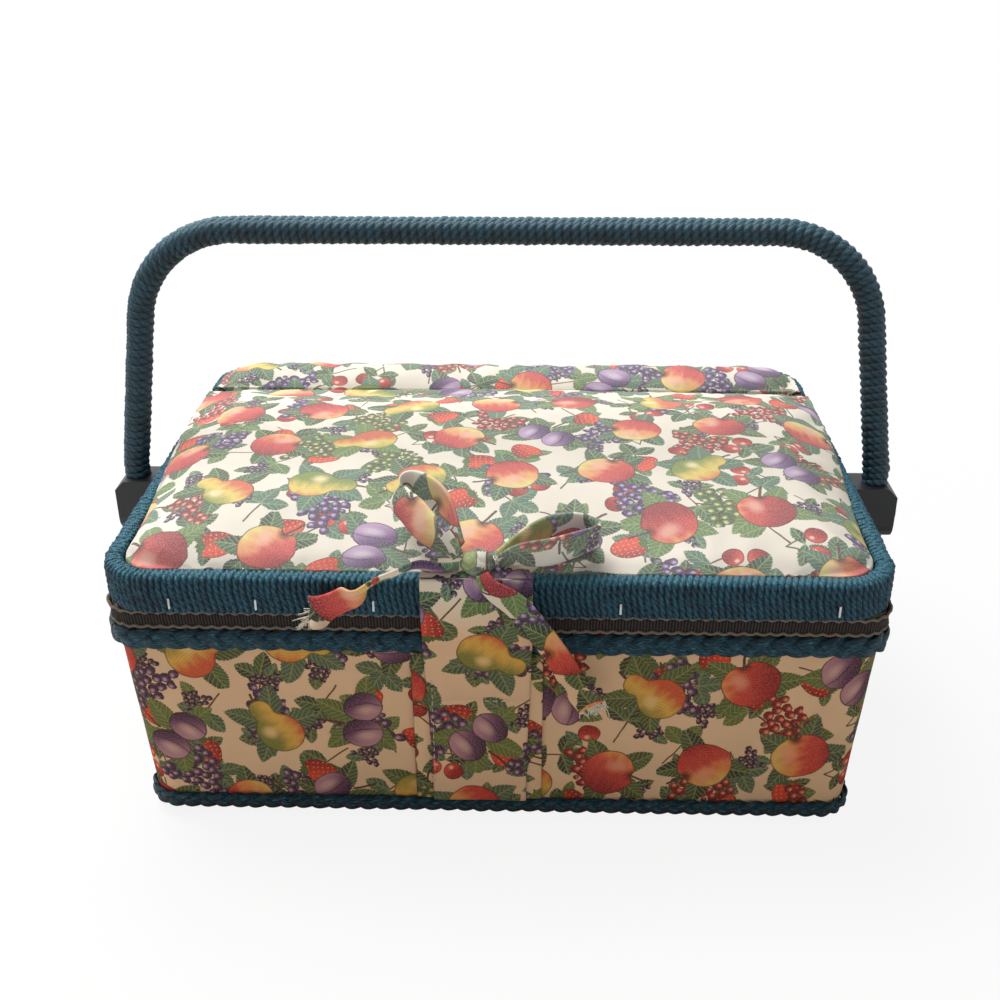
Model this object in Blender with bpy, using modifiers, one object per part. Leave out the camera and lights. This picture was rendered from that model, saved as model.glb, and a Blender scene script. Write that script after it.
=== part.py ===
"""Fabric-covered sewing basket with a padded hinged lid, cord-wrapped rims and a bail handle.

World frame: metres, +Z up, +X to the right, the front faces -Y. The floor is z = 0 and
the origin is under the middle of the whole basket.
"""

import math

import bmesh
import bpy
from mathutils import Matrix, Vector

# Clearances
GAP = 0.0003            # between pieces that touch
CUT_OVERRUN = 0.004     # how far a cutter reaches past what it cuts
RUNNING_CLEARANCE = 0.0004
WELD = 0.00001          # points this close are made one
PICK_WITHIN = 0.0010    # how near its face an edge is taken to be

# Lid and rim, in plan
LID_WIDTH = 0.280
LID_DEPTH = 0.206
LID_CORNER = 0.020
REAR_INSET = 0.0015     # the fixed rear band is a little narrower than the lid at each side
BASKET_BACK = 0.0047    # the bow stands proud in front, so the box sits this far back
RIM_THICKNESS = 0.0070
RIM_HEIGHT = 0.0158
RIM_WRAP = 0.0010       # thickness of the cord wound on the rim
RIM_EDGE = 0.0028       # rounding of the wound rim
CORE_EDGE = 0.0008

# Box, from the floor up
FOOT_HEIGHT = 0.0027
FOOT_RADIUS = 0.0060
FOOT_FROM_SIDE = 0.034
FOOT_FROM_FRONT = 0.024
BASE_SHEET = 0.0006
BASE_SHEET_MARGIN = 0.0015
BOTTOM_BOARD = 0.0030
WALL_TOP = 0.0962
BODY_SIDE_SETBACK = 0.0012  # from the lid's side to the cover's at the top
BODY_SETBACK = 0.0050   # from the lid's front face to the cover's at the top
BODY_TAPER = 0.0051     # each side's lean inwards, from the top down to the base
BODY_CORNER = 0.0110
COVER_THICKNESS = 0.0008
WALL_THICKNESS = 0.0025
LINING_THICKNESS = 0.0008
LEDGE_THICKNESS = 0.0050
LEDGE_DROP = 0.0362     # from the wall's top
FLOOR_PAD_HEIGHT = 0.0030
FLOOR_PAD_CROWN = 0.0015
PAD_EDGE = 0.0020

# Trims
BRAID_DROP = 0.01665    # from the wall's top to the braid's underside
BRAID_HEIGHT = 0.0089
BRAID_THICKNESS = 0.0028
BASE_BRAID_HEIGHT = 0.0065
BASE_BRAID_THICKNESS = 0.0024
BRAID_EDGE = 0.0011
GIMP_THICKNESS = 0.0009

# Lid build-up
HINGE_FROM_BACK = 0.0340
LID_HINGE_GAP = 0.0012  # lid pieces end this far in front of the hinge line
DECK_HINGE_GAP = 0.0016
BOARD_THICKNESS = 0.0025
BOARD_DROP = 0.0083     # from the rim's top to the lid board's underside
LID_LINING = 0.0010
LID_CROWN = 0.0100
LID_CROWN_RUN = 0.0700
DECK_RISE = 0.0010      # the rear band stands this far over the lid's
DECK_CROWN = 0.0075
DECK_CROWN_RUN = 0.0120
PAD_SEAM_DROP = 0.0008  # the cover's edge lies this far under the rim's top
PAD_REAR_CORNER = 0.0040
HINGE_CLOTH = 0.0007
HINGE_CLOTH_TOP_DROP = 0.0006
PINCUSHION_LENGTH = 0.064
PINCUSHION_WIDTH = 0.044
PINCUSHION_HEIGHT = 0.0065
PINCUSHION_FROM_SIDE = 0.070
PINCUSHION_FROM_FRONT = 0.066

# Insert tray
TRAY_HEIGHT = 0.0300
TRAY_LIFT = 0.0007      # over the ledge, whose inner edge rises with the box's slope
TRAY_WALL = 0.0016
TRAY_SIDE_CLEARANCE = 0.0040
TRAY_REAR_CLEARANCE = 0.0070    # from the tray's back to the hinge line
TRAY_CORNER = 0.0100
TRAY_DIVIDER_DROP = 0.0040
TRAY_REAR_ROW = 0.0560
TRAY_MIDDLE_WELL = 0.0960

# Handle
HANDLE_BEHIND_MIDDLE = 0.0100
HANDLE_RISE = 0.1252            # from the pivots to the bar's top
HANDLE_DIAMETER = 0.0116
HANDLE_CORE_DIAMETER = 0.0080
HANDLE_CORE_CLEARANCE = 0.0003
HANDLE_DRAW_IN = 0.0105         # each leg, from its sleeve up to where the corner starts
HANDLE_CORNER = 0.0410          # corner radius of the middle line
SLEEVE_WIDTH = 0.0210
SLEEVE_DEPTH = 0.0160
SLEEVE_BELOW_PIVOT = 0.0113
SLEEVE_ABOVE_PIVOT = 0.0130
SLEEVE_PROUD = 0.0026           # past the handle's outside
SLEEVE_CHAMFER = 0.0040
SLEEVE_ROUND = 0.0070
SOCKET_DEPTH = 0.0080
RIVET_DIAMETER = 0.0040
RIVET_HEAD_DIAMETER = 0.0080
RIVET_HEAD = 0.0012
WASHER_DIAMETER = 0.0100
WASHER_THICKNESS = 0.0008
SPACER_LENGTH = 0.0028

# Closure strap and the panel under it
STRAP_X = -0.0062
STRAP_WIDTH = 0.0390
STRAP_THICKNESS = 0.0012
STRAP_RIM_CLEARANCE = 0.0012    # the lid's lower front edge swings out by less than this
STRAP_BOTTOM = 0.0700
PANEL_X = -0.0068
PANEL_WIDTH = 0.0475
PANEL_THICKNESS = 0.0010

# Bow: middle lines of its ribbons, from the knot, with the width of the cloth there
TIE_THICKNESS = 0.0013
KNOT_X = -0.0060
KNOT_LENGTH = 0.0130
KNOT_DEPTH = 0.0100
KNOT_HEIGHT = 0.0090
RIBBON_STEPS = 5

# Staples in the lid's front rim
STAPLE_SHARES = (-0.404, -0.296, -0.150, 0.154, 0.421)   # of the lid's width, from its middle
STAPLE_HEIGHT = 0.0042
STAPLE_WIDTH = 0.0007
STAPLE_THICKNESS = 0.0005
STAPLE_DROP = 0.0105    # from the rim's top to the staple's middle

CORNER_STEPS = 5
PAD_INSET_SHARES = (0.0, 0.06, 0.16, 0.32, 0.56, 0.85)
PAD_CORNER_SHARE = 0.9  # of a loop's depth, for its two corners together

# Levels and places that follow
LEDGE_TOP = WALL_TOP - LEDGE_DROP
BRAID_BOTTOM = WALL_TOP - BRAID_DROP
PIVOT_HEIGHT = BRAID_BOTTOM + BRAID_HEIGHT / 2
HANDLE_TOP = PIVOT_HEIGHT + HANDLE_RISE
BASE_Z = FOOT_HEIGHT + GAP
WALL_BOTTOM = BASE_Z + BASE_SHEET + GAP
FLOOR_Z = WALL_BOTTOM + BOTTOM_BOARD
RIM_BOTTOM = WALL_TOP + GAP
RIM_TOP = RIM_BOTTOM + RIM_HEIGHT
BOARD_Z = RIM_TOP - BOARD_DROP
PAD_BOTTOM = BOARD_Z + BOARD_THICKNESS + GAP
PAD_SEAM = RIM_TOP - PAD_SEAM_DROP
LID_FRONT = BASKET_BACK - LID_DEPTH / 2
LID_BACK = BASKET_BACK + LID_DEPTH / 2
HINGE_Y = LID_BACK - HINGE_FROM_BACK
HINGE_Z = RIM_TOP
PIVOT_Y = BASKET_BACK + HANDLE_BEHIND_MIDDLE
PINCUSHION_X = LID_WIDTH / 2 - PINCUSHION_FROM_SIDE
BODY_TOP_WIDTH = LID_WIDTH - 2 * BODY_SIDE_SETBACK
BODY_TOP_DEPTH = LID_DEPTH - 2 * BODY_SETBACK
BODY_BOTTOM_WIDTH = BODY_TOP_WIDTH - 2 * BODY_TAPER
COVER_AT_PIVOT = BODY_TOP_WIDTH / 2 - BODY_TAPER * (WALL_TOP - PIVOT_HEIGHT) / (WALL_TOP - BASE_Z)
BRAID_FACE = COVER_AT_PIVOT + GAP + BRAID_THICKNESS
SLEEVE_INNER = BRAID_FACE + GAP + SPACER_LENGTH + GAP
SLEEVE_OUTER = SLEEVE_INNER + SLEEVE_WIDTH
HANDLE_FOOT = SLEEVE_OUTER - SLEEVE_PROUD - HANDLE_DIAMETER / 2
RIM_INNER_WIDTH = LID_WIDTH - 2 * RIM_THICKNESS
DECK_WIDTH = LID_WIDTH - 2 * REAR_INSET
DECK_TOP = RIM_TOP + DECK_RISE
DECK_INNER_WIDTH = DECK_WIDTH - 2 * RIM_THICKNESS

TEAL_CORD = (0.045, 0.150, 0.200, 1.0)
DARK_TEAL = (0.015, 0.070, 0.090, 1.0)
PRINT_CLOTH = (0.780, 0.640, 0.480, 1.0)
TAN_CLOTH = (0.420, 0.330, 0.240, 1.0)
CARDBOARD = (0.380, 0.270, 0.160, 1.0)
CREAM_LINING = (0.760, 0.690, 0.560, 1.0)
BLACK_PLASTIC = (0.010, 0.012, 0.014, 1.0)
TRAY_PLASTIC = (0.800, 0.780, 0.720, 1.0)
STEEL = (0.560, 0.560, 0.580, 1.0)


def clear_scene():
    for obj in list(bpy.data.objects):
        bpy.data.objects.remove(obj, do_unlink=True)


def new_collection(name):
    collection = bpy.data.collections.new(name)
    bpy.context.scene.collection.children.link(collection)
    return collection


def material(name, colour, roughness, metallic=0.0):
    made = bpy.data.materials.new(name)
    made.use_nodes = True
    shader = made.node_tree.nodes["Principled BSDF"]
    shader.inputs["Base Color"].default_value = colour
    shader.inputs["Roughness"].default_value = roughness
    shader.inputs["Metallic"].default_value = metallic
    made.diffuse_color = colour
    return made


def finish_mesh(name, bm, surface, collection=None):
    """The bmesh as an object, with its own material, in the basket's collection."""
    mesh = bpy.data.meshes.new(name)
    bm.to_mesh(mesh)
    bm.free()
    obj = bpy.data.objects.new(name, mesh)
    mesh.materials.append(surface)
    (collection or BASKET).objects.link(obj)
    mesh.shade_smooth()
    mesh.set_sharp_from_angle(angle=math.radians(35))
    return obj


def solidify(obj, thickness, offset=-1.0):
    shell = obj.modifiers.new("Solidify", "SOLIDIFY")
    shell.thickness = thickness
    shell.offset = offset
    shell.use_even_offset = True
    return obj


def bevel(obj, width, segments=2, degrees=50):
    rounding = obj.modifiers.new("Bevel", "BEVEL")
    rounding.width = width
    rounding.segments = segments
    rounding.limit_method = "ANGLE"
    rounding.angle_limit = math.radians(degrees)
    return obj


def boolean(obj, other, operation):
    """Cuts or joins another object, which stays as a hidden helper."""
    other.hide_render = True
    other.display_type = "WIRE"
    step = obj.modifiers.new(operation.title(), "BOOLEAN")
    step.operation = operation
    step.solver = "EXACT"
    step.object = other
    return obj


def arc(centre, radius, start, end, steps):
    """Points of an arc in plan, from one angle to another in degrees."""
    angles = [math.radians(start + (end - start) * i / steps) for i in range(steps + 1)]
    return [(centre[0] + radius * math.cos(a), centre[1] + radius * math.sin(a)) for a in angles]


def outline(width, front, back, front_corner, back_corner=None):
    """A rounded rectangle in plan, counter-clockwise from the front left corner."""
    rear = front_corner if back_corner is None else back_corner
    half = width / 2
    points = arc((front_corner - half, front + front_corner), front_corner, 180, 270, CORNER_STEPS)
    points += arc((half - front_corner, front + front_corner), front_corner, 270, 360, CORNER_STEPS)
    points += arc((half - rear, back - rear), rear, 0, 90, CORNER_STEPS)
    points += arc((rear - half, back - rear), rear, 90, 180, CORNER_STEPS)
    return points


def body_outline(height, inwards):
    """The tapered box in plan at a height, drawn in from the cover's outside."""
    down = BODY_TAPER * (WALL_TOP - height) / (WALL_TOP - BASE_Z)
    inset = down + inwards
    width = BODY_TOP_WIDTH - 2 * inset
    half_depth = BODY_TOP_DEPTH / 2 - inset
    corner = BODY_CORNER - inwards
    return outline(width, BASKET_BACK - half_depth, BASKET_BACK + half_depth, corner)


def body_front(height, inwards=0.0):
    """Y of the tapered box's front at a height, drawn in from the cover's outside."""
    down = BODY_TAPER * (WALL_TOP - height) / (WALL_TOP - BASE_Z)
    return BASKET_BACK - BODY_TOP_DEPTH / 2 + down + inwards


def add_loop(bm, points, height):
    return [bm.verts.new((x, y, height)) for x, y in points]


def loft(bm, loops, closed=True):
    """Faces between each loop and the next. Loops that run counter-clockwise face outwards."""
    for lower, upper in zip(loops, loops[1:]):
        corners = list(zip(lower, upper))
        following = corners[1:] + corners[:1] if closed else corners[1:]
        for (a, d), (b, c) in zip(corners, following):
            bm.faces.new((a, b, c, d))


def body_ring(name, levels, inwards, thickness, surface):
    """A wall round the tapered box: its outside at each level, and its thickness inwards."""
    bm = bmesh.new()
    loops = [add_loop(bm, body_outline(z, inwards), z) for z in levels]
    loft(bm, loops)
    return solidify(finish_mesh(name, bm, surface), thickness)


def board(name, points, bottom, thickness, surface):
    """A flat board or sheet with the given outline."""
    curve = bpy.data.curves.new(name, "CURVE")
    curve.dimensions = "2D"
    curve.fill_mode = "BOTH"
    curve.extrude = thickness / 2
    spline = curve.splines.new("POLY")
    spline.points.add(len(points) - 1)
    for point, (x, y) in zip(spline.points, points):
        point.co = (x, y, 0, 1)
    spline.use_cyclic_u = True
    obj = bpy.data.objects.new(name, curve)
    obj.location.z = bottom + thickness / 2
    curve.materials.append(surface)
    BASKET.objects.link(obj)
    return obj


def band(name, path, bottom, top, thickness, surface, edge, collection=None):
    """An upright strip that follows a path in plan, with its thickness inwards."""
    bm = bmesh.new()
    loft(bm, [add_loop(bm, path, z) for z in (bottom, top)], closed=False)
    made = solidify(finish_mesh(name, bm, surface, collection), thickness)
    return bevel(made, edge)


def lid_path(inwards, overrun=0.0):
    """The lid's rim in plan: from the hinge down the left side, round the front and back."""
    end = HINGE_Y - LID_HINGE_GAP + overrun
    front = LID_FRONT + inwards
    half = LID_WIDTH / 2 - inwards
    corner = LID_CORNER - inwards
    path = [(-half, end)]
    path += arc((corner - half, front + corner), corner, 180, 270, CORNER_STEPS)
    path += arc((half - corner, front + corner), corner, 270, 360, CORNER_STEPS)
    return path + [(half, end)]


def deck_path(inwards, overrun=0.0):
    """The fixed rear band in plan: from the hinge up the right side and round the back."""
    start = HINGE_Y + DECK_HINGE_GAP - overrun
    back = LID_BACK - inwards
    half = DECK_WIDTH / 2 - inwards
    corner = LID_CORNER - inwards
    path = [(half, start)]
    path += arc((half - corner, back - corner), corner, 0, 90, CORNER_STEPS)
    path += arc((corner - half, back - corner), corner, 90, 180, CORNER_STEPS)
    return path + [(-half, start)]


def wound_band(prefix, path, top):
    """A flat core and the cord wound round it, which is open at the band's two ends."""
    inside = RIM_WRAP + GAP
    core_bottom, core_top = RIM_BOTTOM + inside, top - inside
    core_thickness = RIM_THICKNESS - 2 * inside
    core_surface = material(prefix + "_core", CARDBOARD, 0.85)
    wrap_surface = material(prefix + "_cord", TEAL_CORD, 0.55)
    core = band(prefix + "_core", path(inside), core_bottom, core_top, core_thickness,
                core_surface, CORE_EDGE)
    bore = band(prefix + "_bore", path(RIM_WRAP, CUT_OVERRUN), RIM_BOTTOM + RIM_WRAP,
                top - RIM_WRAP, RIM_THICKNESS - 2 * RIM_WRAP, core_surface, CORE_EDGE, CUTTERS)
    wrap = band(prefix + "_cord", path(0.0), RIM_BOTTOM, top, RIM_THICKNESS,
                wrap_surface, RIM_EDGE)
    boolean(wrap, bore, "DIFFERENCE")
    return [core, wrap]


def pad(name, width, front, back, corners, levels, crown, run, surface):
    """A crowned pad: flat below, with straight sides up to its seam and a swelling top."""
    bottom, seam = levels
    limit = min(width, back - front) / 2
    bm = bmesh.new()
    loops = [add_loop(bm, outline(width, front, back, *corners), bottom)]
    for share in PAD_INSET_SHARES:
        inset = share * min(run, limit)
        rise = crown * (1 - (1 - share) ** 3)
        rounding = [corner + inset / 2 for corner in corners]
        room = (back - front - 2 * inset) * PAD_CORNER_SHARE
        shrink = min(1.0, room / sum(rounding))
        points = outline(width - 2 * inset, front + inset, back - inset,
                         *[radius * shrink for radius in rounding])
        loops.append(add_loop(bm, points, seam + rise))
    loft(bm, loops)
    bm.faces.new(loops[0][::-1])
    bm.faces.new(loops[-1])
    return finish_mesh(name, bm, surface)


def box(name, low, high, surface, collection=None):
    bm = bmesh.new()
    bmesh.ops.create_cube(bm, size=1.0)
    low, high = Vector(low), Vector(high)
    bmesh.ops.scale(bm, vec=high - low, verts=bm.verts)
    bmesh.ops.translate(bm, vec=(low + high) / 2, verts=bm.verts)
    return finish_mesh(name, bm, surface, collection)


def turned(name, profile, place, surface, along_x=False, closed=False, steps=16, collection=None):
    """A turned piece: the profile is (radius, height) pairs, down its outer side."""
    bm = bmesh.new()
    verts = [bm.verts.new((radius, 0, height)) for radius, height in profile]
    for pair in zip(verts, verts[1:] + verts[:1] if closed else verts[1:]):
        bm.edges.new(pair)
    obj = finish_mesh(name, bm, surface, collection)
    screw = obj.modifiers.new("Screw", "SCREW")
    screw.steps = steps
    screw.render_steps = steps
    screw.use_merge_vertices = True
    screw.merge_threshold = WELD
    screw.use_smooth_shade = True
    obj.location = place
    if along_x:
        obj.rotation_euler.y = math.radians(90)
    return obj


def tube_mesh(name, route, radius, sides, surface, collection=None):
    """A closed tube along a route, as a mesh that can be cut."""
    curve = bpy.data.curves.new(name, "CURVE")
    curve.dimensions = "3D"
    curve.bevel_depth = radius
    curve.bevel_resolution = sides // 2 - 2
    curve.use_fill_caps = True
    spline = curve.splines.new("POLY")
    spline.points.add(len(route) - 1)
    for point, place in zip(spline.points, route):
        point.co = (*place, 1)
    helper = bpy.data.objects.new(name + "_route", curve)
    BASKET.objects.link(helper)
    graph = bpy.context.evaluated_depsgraph_get()
    mesh = bpy.data.meshes.new_from_object(helper.evaluated_get(graph))
    bm = bmesh.new()
    bm.from_mesh(mesh)
    bmesh.ops.remove_doubles(bm, verts=bm.verts, dist=WELD)
    obj = finish_mesh(name, bm, surface, collection)
    obj.matrix_world = helper.matrix_world
    bpy.data.objects.remove(helper, do_unlink=True)
    bpy.data.meshes.remove(mesh)
    return obj


def hang_on(name, place, children):
    """Parents the pieces to an empty on their joint's axis, without moving them."""
    axis = bpy.data.objects.new(name, None)
    axis.location = place
    axis.empty_display_size = SLEEVE_WIDTH
    BASKET.objects.link(axis)
    for child in children:
        child.parent = axis
        child.matrix_parent_inverse = Matrix.Translation(-Vector(place))
    return axis


def make_feet():
    """Four low black studs under the base."""
    rubber = material("foot", BLACK_PLASTIC, 0.6)
    edge = FOOT_RADIUS / 8
    profile = [(0, FOOT_HEIGHT), (FOOT_RADIUS, FOOT_HEIGHT), (FOOT_RADIUS, edge),
               (FOOT_RADIUS - edge, 0), (0, 0)]
    side = BODY_BOTTOM_WIDTH / 2 - FOOT_FROM_SIDE
    reach = BODY_TOP_DEPTH / 2 - BODY_TAPER - FOOT_FROM_FRONT
    for row, y in (("front", -reach), ("rear", reach)):
        for hand, x in (("left", -side), ("right", side)):
            place = (x, BASKET_BACK + y, 0)
            turned(f"foot_{row}_{hand}", profile, place, rubber, steps=20)


def make_box():
    """Base sheet, boards, printed cover, lining and the ledge that carries the tray."""
    sheet = body_outline(BASE_Z, BASE_SHEET_MARGIN)
    board("base_sheet", sheet, BASE_Z, BASE_SHEET, material("base_sheet", BLACK_PLASTIC, 0.8))
    inside_cover = COVER_THICKNESS + GAP
    inside_wall = inside_cover + WALL_THICKNESS + GAP
    inside_lining = inside_wall + LINING_THICKNESS + GAP
    inside_ledge = inside_lining + LEDGE_THICKNESS + GAP
    wall_surface = material("wall_board", CARDBOARD, 0.85)
    pieces = {
        "wall_cover": body_ring("wall_cover", (WALL_BOTTOM, WALL_TOP), 0.0, COVER_THICKNESS,
                                material("wall_cover", PRINT_CLOTH, 0.9)),
        "wall_board": body_ring("wall_board", (WALL_BOTTOM, WALL_TOP), inside_cover,
                                WALL_THICKNESS, wall_surface),
        "wall_lining": body_ring("wall_lining", (FLOOR_Z + GAP, WALL_TOP), inside_wall,
                                 LINING_THICKNESS, material("wall_lining", CREAM_LINING, 0.8)),
    }
    body_ring("tray_ledge", (FLOOR_Z + GAP, LEDGE_TOP), inside_lining, LEDGE_THICKNESS,
              material("tray_ledge", CREAM_LINING, 0.8))
    board("bottom_board", body_outline(WALL_BOTTOM, inside_wall), WALL_BOTTOM, BOTTOM_BOARD,
          material("bottom_board", CARDBOARD, 0.85))
    pad_inset = inside_ledge + body_front(FLOOR_Z) - body_front(WALL_TOP)
    half_depth = BODY_TOP_DEPTH / 2 - pad_inset
    corner = BODY_CORNER - inside_lining
    bottom = FLOOR_Z + GAP
    pad("floor_pad", BODY_TOP_WIDTH - 2 * pad_inset, BASKET_BACK - half_depth,
        BASKET_BACK + half_depth, (corner, corner), (bottom, bottom + FLOOR_PAD_HEIGHT),
        FLOOR_PAD_CROWN, half_depth, material("floor_pad", CREAM_LINING, 0.8))
    return pieces


def make_trims():
    """Raffia braids round the top and the base, and the gimp tape under the lid."""
    teal = material("top_braid", TEAL_CORD, 0.6)
    outside = -GAP
    top = BRAID_BOTTOM + BRAID_HEIGHT
    top_braid = body_ring("top_braid", (BRAID_BOTTOM, top), outside - BRAID_THICKNESS,
                          BRAID_THICKNESS, teal)
    bevel(top_braid, BRAID_EDGE)
    base_bottom = WALL_BOTTOM + GAP
    base_braid = body_ring("base_braid", (base_bottom, base_bottom + BASE_BRAID_HEIGHT),
                           outside - BASE_BRAID_THICKNESS, BASE_BRAID_THICKNESS,
                           material("base_braid", TEAL_CORD, 0.6))
    bevel(base_braid, BRAID_EDGE)
    body_ring("gimp_tape", (top + GAP, WALL_TOP), outside - GIMP_THICKNESS, GIMP_THICKNESS,
              material("gimp_tape", TAN_CLOTH, 0.9))
    return top_braid


def slab(name, middle, width, levels, thickness, surface):
    """A strip of doubled cloth that hangs on the front: its back face as (height, y) pairs."""
    bm = bmesh.new()
    loops = []
    for height, y in levels:
        ends = [(middle - width / 2, y), (middle + width / 2, y)]
        loops.append(add_loop(bm, ends, height))
    loft(bm, loops, closed=False)
    return solidify(finish_mesh(name, bm, surface), thickness, offset=1.0)


def make_strap():
    """The panel sewn to the front and the strap that goes up over the lid's rim."""
    low = WALL_BOTTOM + GAP + BASE_BRAID_HEIGHT + GAP
    high = BRAID_BOTTOM - GAP
    slab("front_panel", PANEL_X, PANEL_WIDTH,
         [(low, body_front(low) - GAP), (high, body_front(high) - GAP)],
         PANEL_THICKNESS, material("front_panel", PRINT_CLOTH, 0.9))
    over_panel = GAP + PANEL_THICKNESS + GAP
    over_braid = GAP + BRAID_THICKNESS + GAP
    rim_face = LID_FRONT - STRAP_RIM_CLEARANCE
    ramp = BRAID_THICKNESS
    braid_top = BRAID_BOTTOM + BRAID_HEIGHT
    levels = [
        (STRAP_BOTTOM, body_front(STRAP_BOTTOM) - over_panel),
        (BRAID_BOTTOM - ramp, body_front(BRAID_BOTTOM) - over_panel),
        (BRAID_BOTTOM - GAP, body_front(BRAID_BOTTOM) - over_braid),
        (braid_top, body_front(braid_top) - over_braid),
        (RIM_BOTTOM - GAP, rim_face),
        (RIM_TOP, rim_face),
    ]
    slab("closure_strap", STRAP_X, STRAP_WIDTH, levels, STRAP_THICKNESS,
         material("closure_strap", PRINT_CLOTH, 0.9))


def make_deck():
    """The fixed strip behind the hinge: its board, padded cover, wound band and hinge cloth."""
    front = HINGE_Y + DECK_HINGE_GAP
    back = LID_BACK - RIM_THICKNESS - GAP
    width = DECK_INNER_WIDTH - 2 * GAP
    corner = LID_CORNER - RIM_THICKNESS - GAP
    plan = outline(width, front, back, PAD_REAR_CORNER, corner)
    board("deck_board", plan, BOARD_Z, BOARD_THICKNESS, material("deck_board", CARDBOARD, 0.85))
    pad("deck_pad", width, front, back, (PAD_REAR_CORNER, corner),
        (PAD_BOTTOM, PAD_SEAM + DECK_RISE), DECK_CROWN, DECK_CROWN_RUN,
        material("deck_pad", PRINT_CLOTH, 0.9))
    wound_band("deck_rim", deck_path, DECK_TOP)
    cloth_front = front - GAP - HINGE_CLOTH
    box("hinge_cloth", (-width / 2, cloth_front, BOARD_Z), (width / 2, front - GAP,
        HINGE_Z - HINGE_CLOTH_TOP_DROP), material("hinge_cloth", PRINT_CLOTH, 0.9))


def make_lid():
    """Everything that swings with the lid except the bow."""
    back = HINGE_Y - LID_HINGE_GAP
    front = LID_FRONT + RIM_THICKNESS + GAP
    width = RIM_INNER_WIDTH - 2 * GAP
    corner = LID_CORNER - RIM_THICKNESS - GAP
    plan = outline(width, front, back, corner, PAD_REAR_CORNER)
    lid_board = board("lid_board", plan, BOARD_Z, BOARD_THICKNESS,
                      material("lid_board", CARDBOARD, 0.85))
    lining_bottom = BOARD_Z - GAP - LID_LINING
    lining = board("lid_lining", plan, lining_bottom, LID_LINING,
                   material("lid_lining", CREAM_LINING, 0.8))
    cover = pad("lid_pad", width, front, back, (corner, PAD_REAR_CORNER), (PAD_BOTTOM, PAD_SEAM),
                LID_CROWN, LID_CROWN_RUN, material("lid_pad", PRINT_CLOTH, 0.9))
    rim = wound_band("lid_rim", lid_path, RIM_TOP)
    cushion_front = LID_FRONT + PINCUSHION_FROM_FRONT - PINCUSHION_WIDTH / 2
    cushion = pad("pincushion", PINCUSHION_LENGTH, cushion_front,
                  cushion_front + PINCUSHION_WIDTH, (PINCUSHION_WIDTH / 4, PINCUSHION_WIDTH / 4),
                  (0.0, PAD_EDGE), PINCUSHION_HEIGHT - PAD_EDGE, PINCUSHION_WIDTH / 2,
                  material("pincushion", (0.35, 0.05, 0.06, 1.0), 0.9))
    # The pad is modelled crown up, and hangs crown down under the lining.
    flip = Matrix.Diagonal((1, 1, -1, 1))
    cushion.data.transform(Matrix.Translation((PINCUSHION_X, 0, lining_bottom - GAP)) @ flip)
    cushion.data.flip_normals()
    staples = make_staples()
    return [lid_board, lining, cover, cushion, *rim, *staples]


def make_staples():
    """The wire staples that hold the cord to the lid's front rim."""
    steel = material("rim_staple", STEEL, 0.3, 1.0)
    middle = RIM_TOP - STAPLE_DROP
    back = LID_FRONT - GAP
    half = STAPLE_WIDTH / 2
    return [
        box(f"rim_staple_{number}", (x - half, back - STAPLE_THICKNESS, middle - STAPLE_HEIGHT / 2),
            (x + half, back, middle + STAPLE_HEIGHT / 2), steel)
        for number, x in enumerate((share * LID_WIDTH for share in STAPLE_SHARES), 1)
    ]


def smooth_line(stations, steps):
    """Points and widths along a ribbon, on a smooth curve through its stations."""
    ends = [stations[0], *stations, stations[-1]]
    line = []
    for a, b, c, d in zip(ends, ends[1:], ends[2:], ends[3:]):
        for i in range(steps):
            t = i / steps
            weights = ((-t ** 3 + 2 * t ** 2 - t) / 2, (3 * t ** 3 - 5 * t ** 2 + 2) / 2,
                       (-3 * t ** 3 + 4 * t ** 2 + t) / 2, (t ** 3 - t ** 2) / 2)
            line.append([sum((w * s[k] for w, s in zip(weights, (a, b, c, d))), start=zero)
                         for k, zero in ((0, Vector()), (1, Vector()), (2, 0.0))])
    line.append(list(stations[-1]))
    return line


def ribbon(name, stations, surface):
    """A strip of tie cloth: each station is its middle, its width's direction and its width."""
    bm = bmesh.new()
    edges = [[], []]
    for middle, across, width in smooth_line(stations, RIBBON_STEPS):
        side = across.normalized() * width / 2
        edges[0].append(bm.verts.new(middle - side))
        edges[1].append(bm.verts.new(middle + side))
    loft(bm, edges, closed=False)
    return solidify(finish_mesh(name, bm, surface), TIE_THICKNESS, offset=0.0)


def make_bow():
    """The tied bow on the lid's front edge: its knot, two loops and two tails."""
    surface = material("bow", PRINT_CLOTH, 0.9)
    knot_middle = Vector((KNOT_X, LID_FRONT + RIM_THICKNESS / 2 - GAP,
                          RIM_TOP + 2 * GAP + KNOT_HEIGHT / 2))
    bm = bmesh.new()
    bmesh.ops.create_icosphere(bm, subdivisions=2, radius=0.5)
    bmesh.ops.scale(bm, vec=(KNOT_LENGTH, KNOT_DEPTH, KNOT_HEIGHT), verts=bm.verts)
    bmesh.ops.translate(bm, vec=knot_middle, verts=bm.verts)
    knot = finish_mesh("bow_knot", bm, surface)
    return [knot] + [ribbon(name, stations, surface)
                     for name, stations in bow_ribbons(knot_middle).items()]


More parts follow.
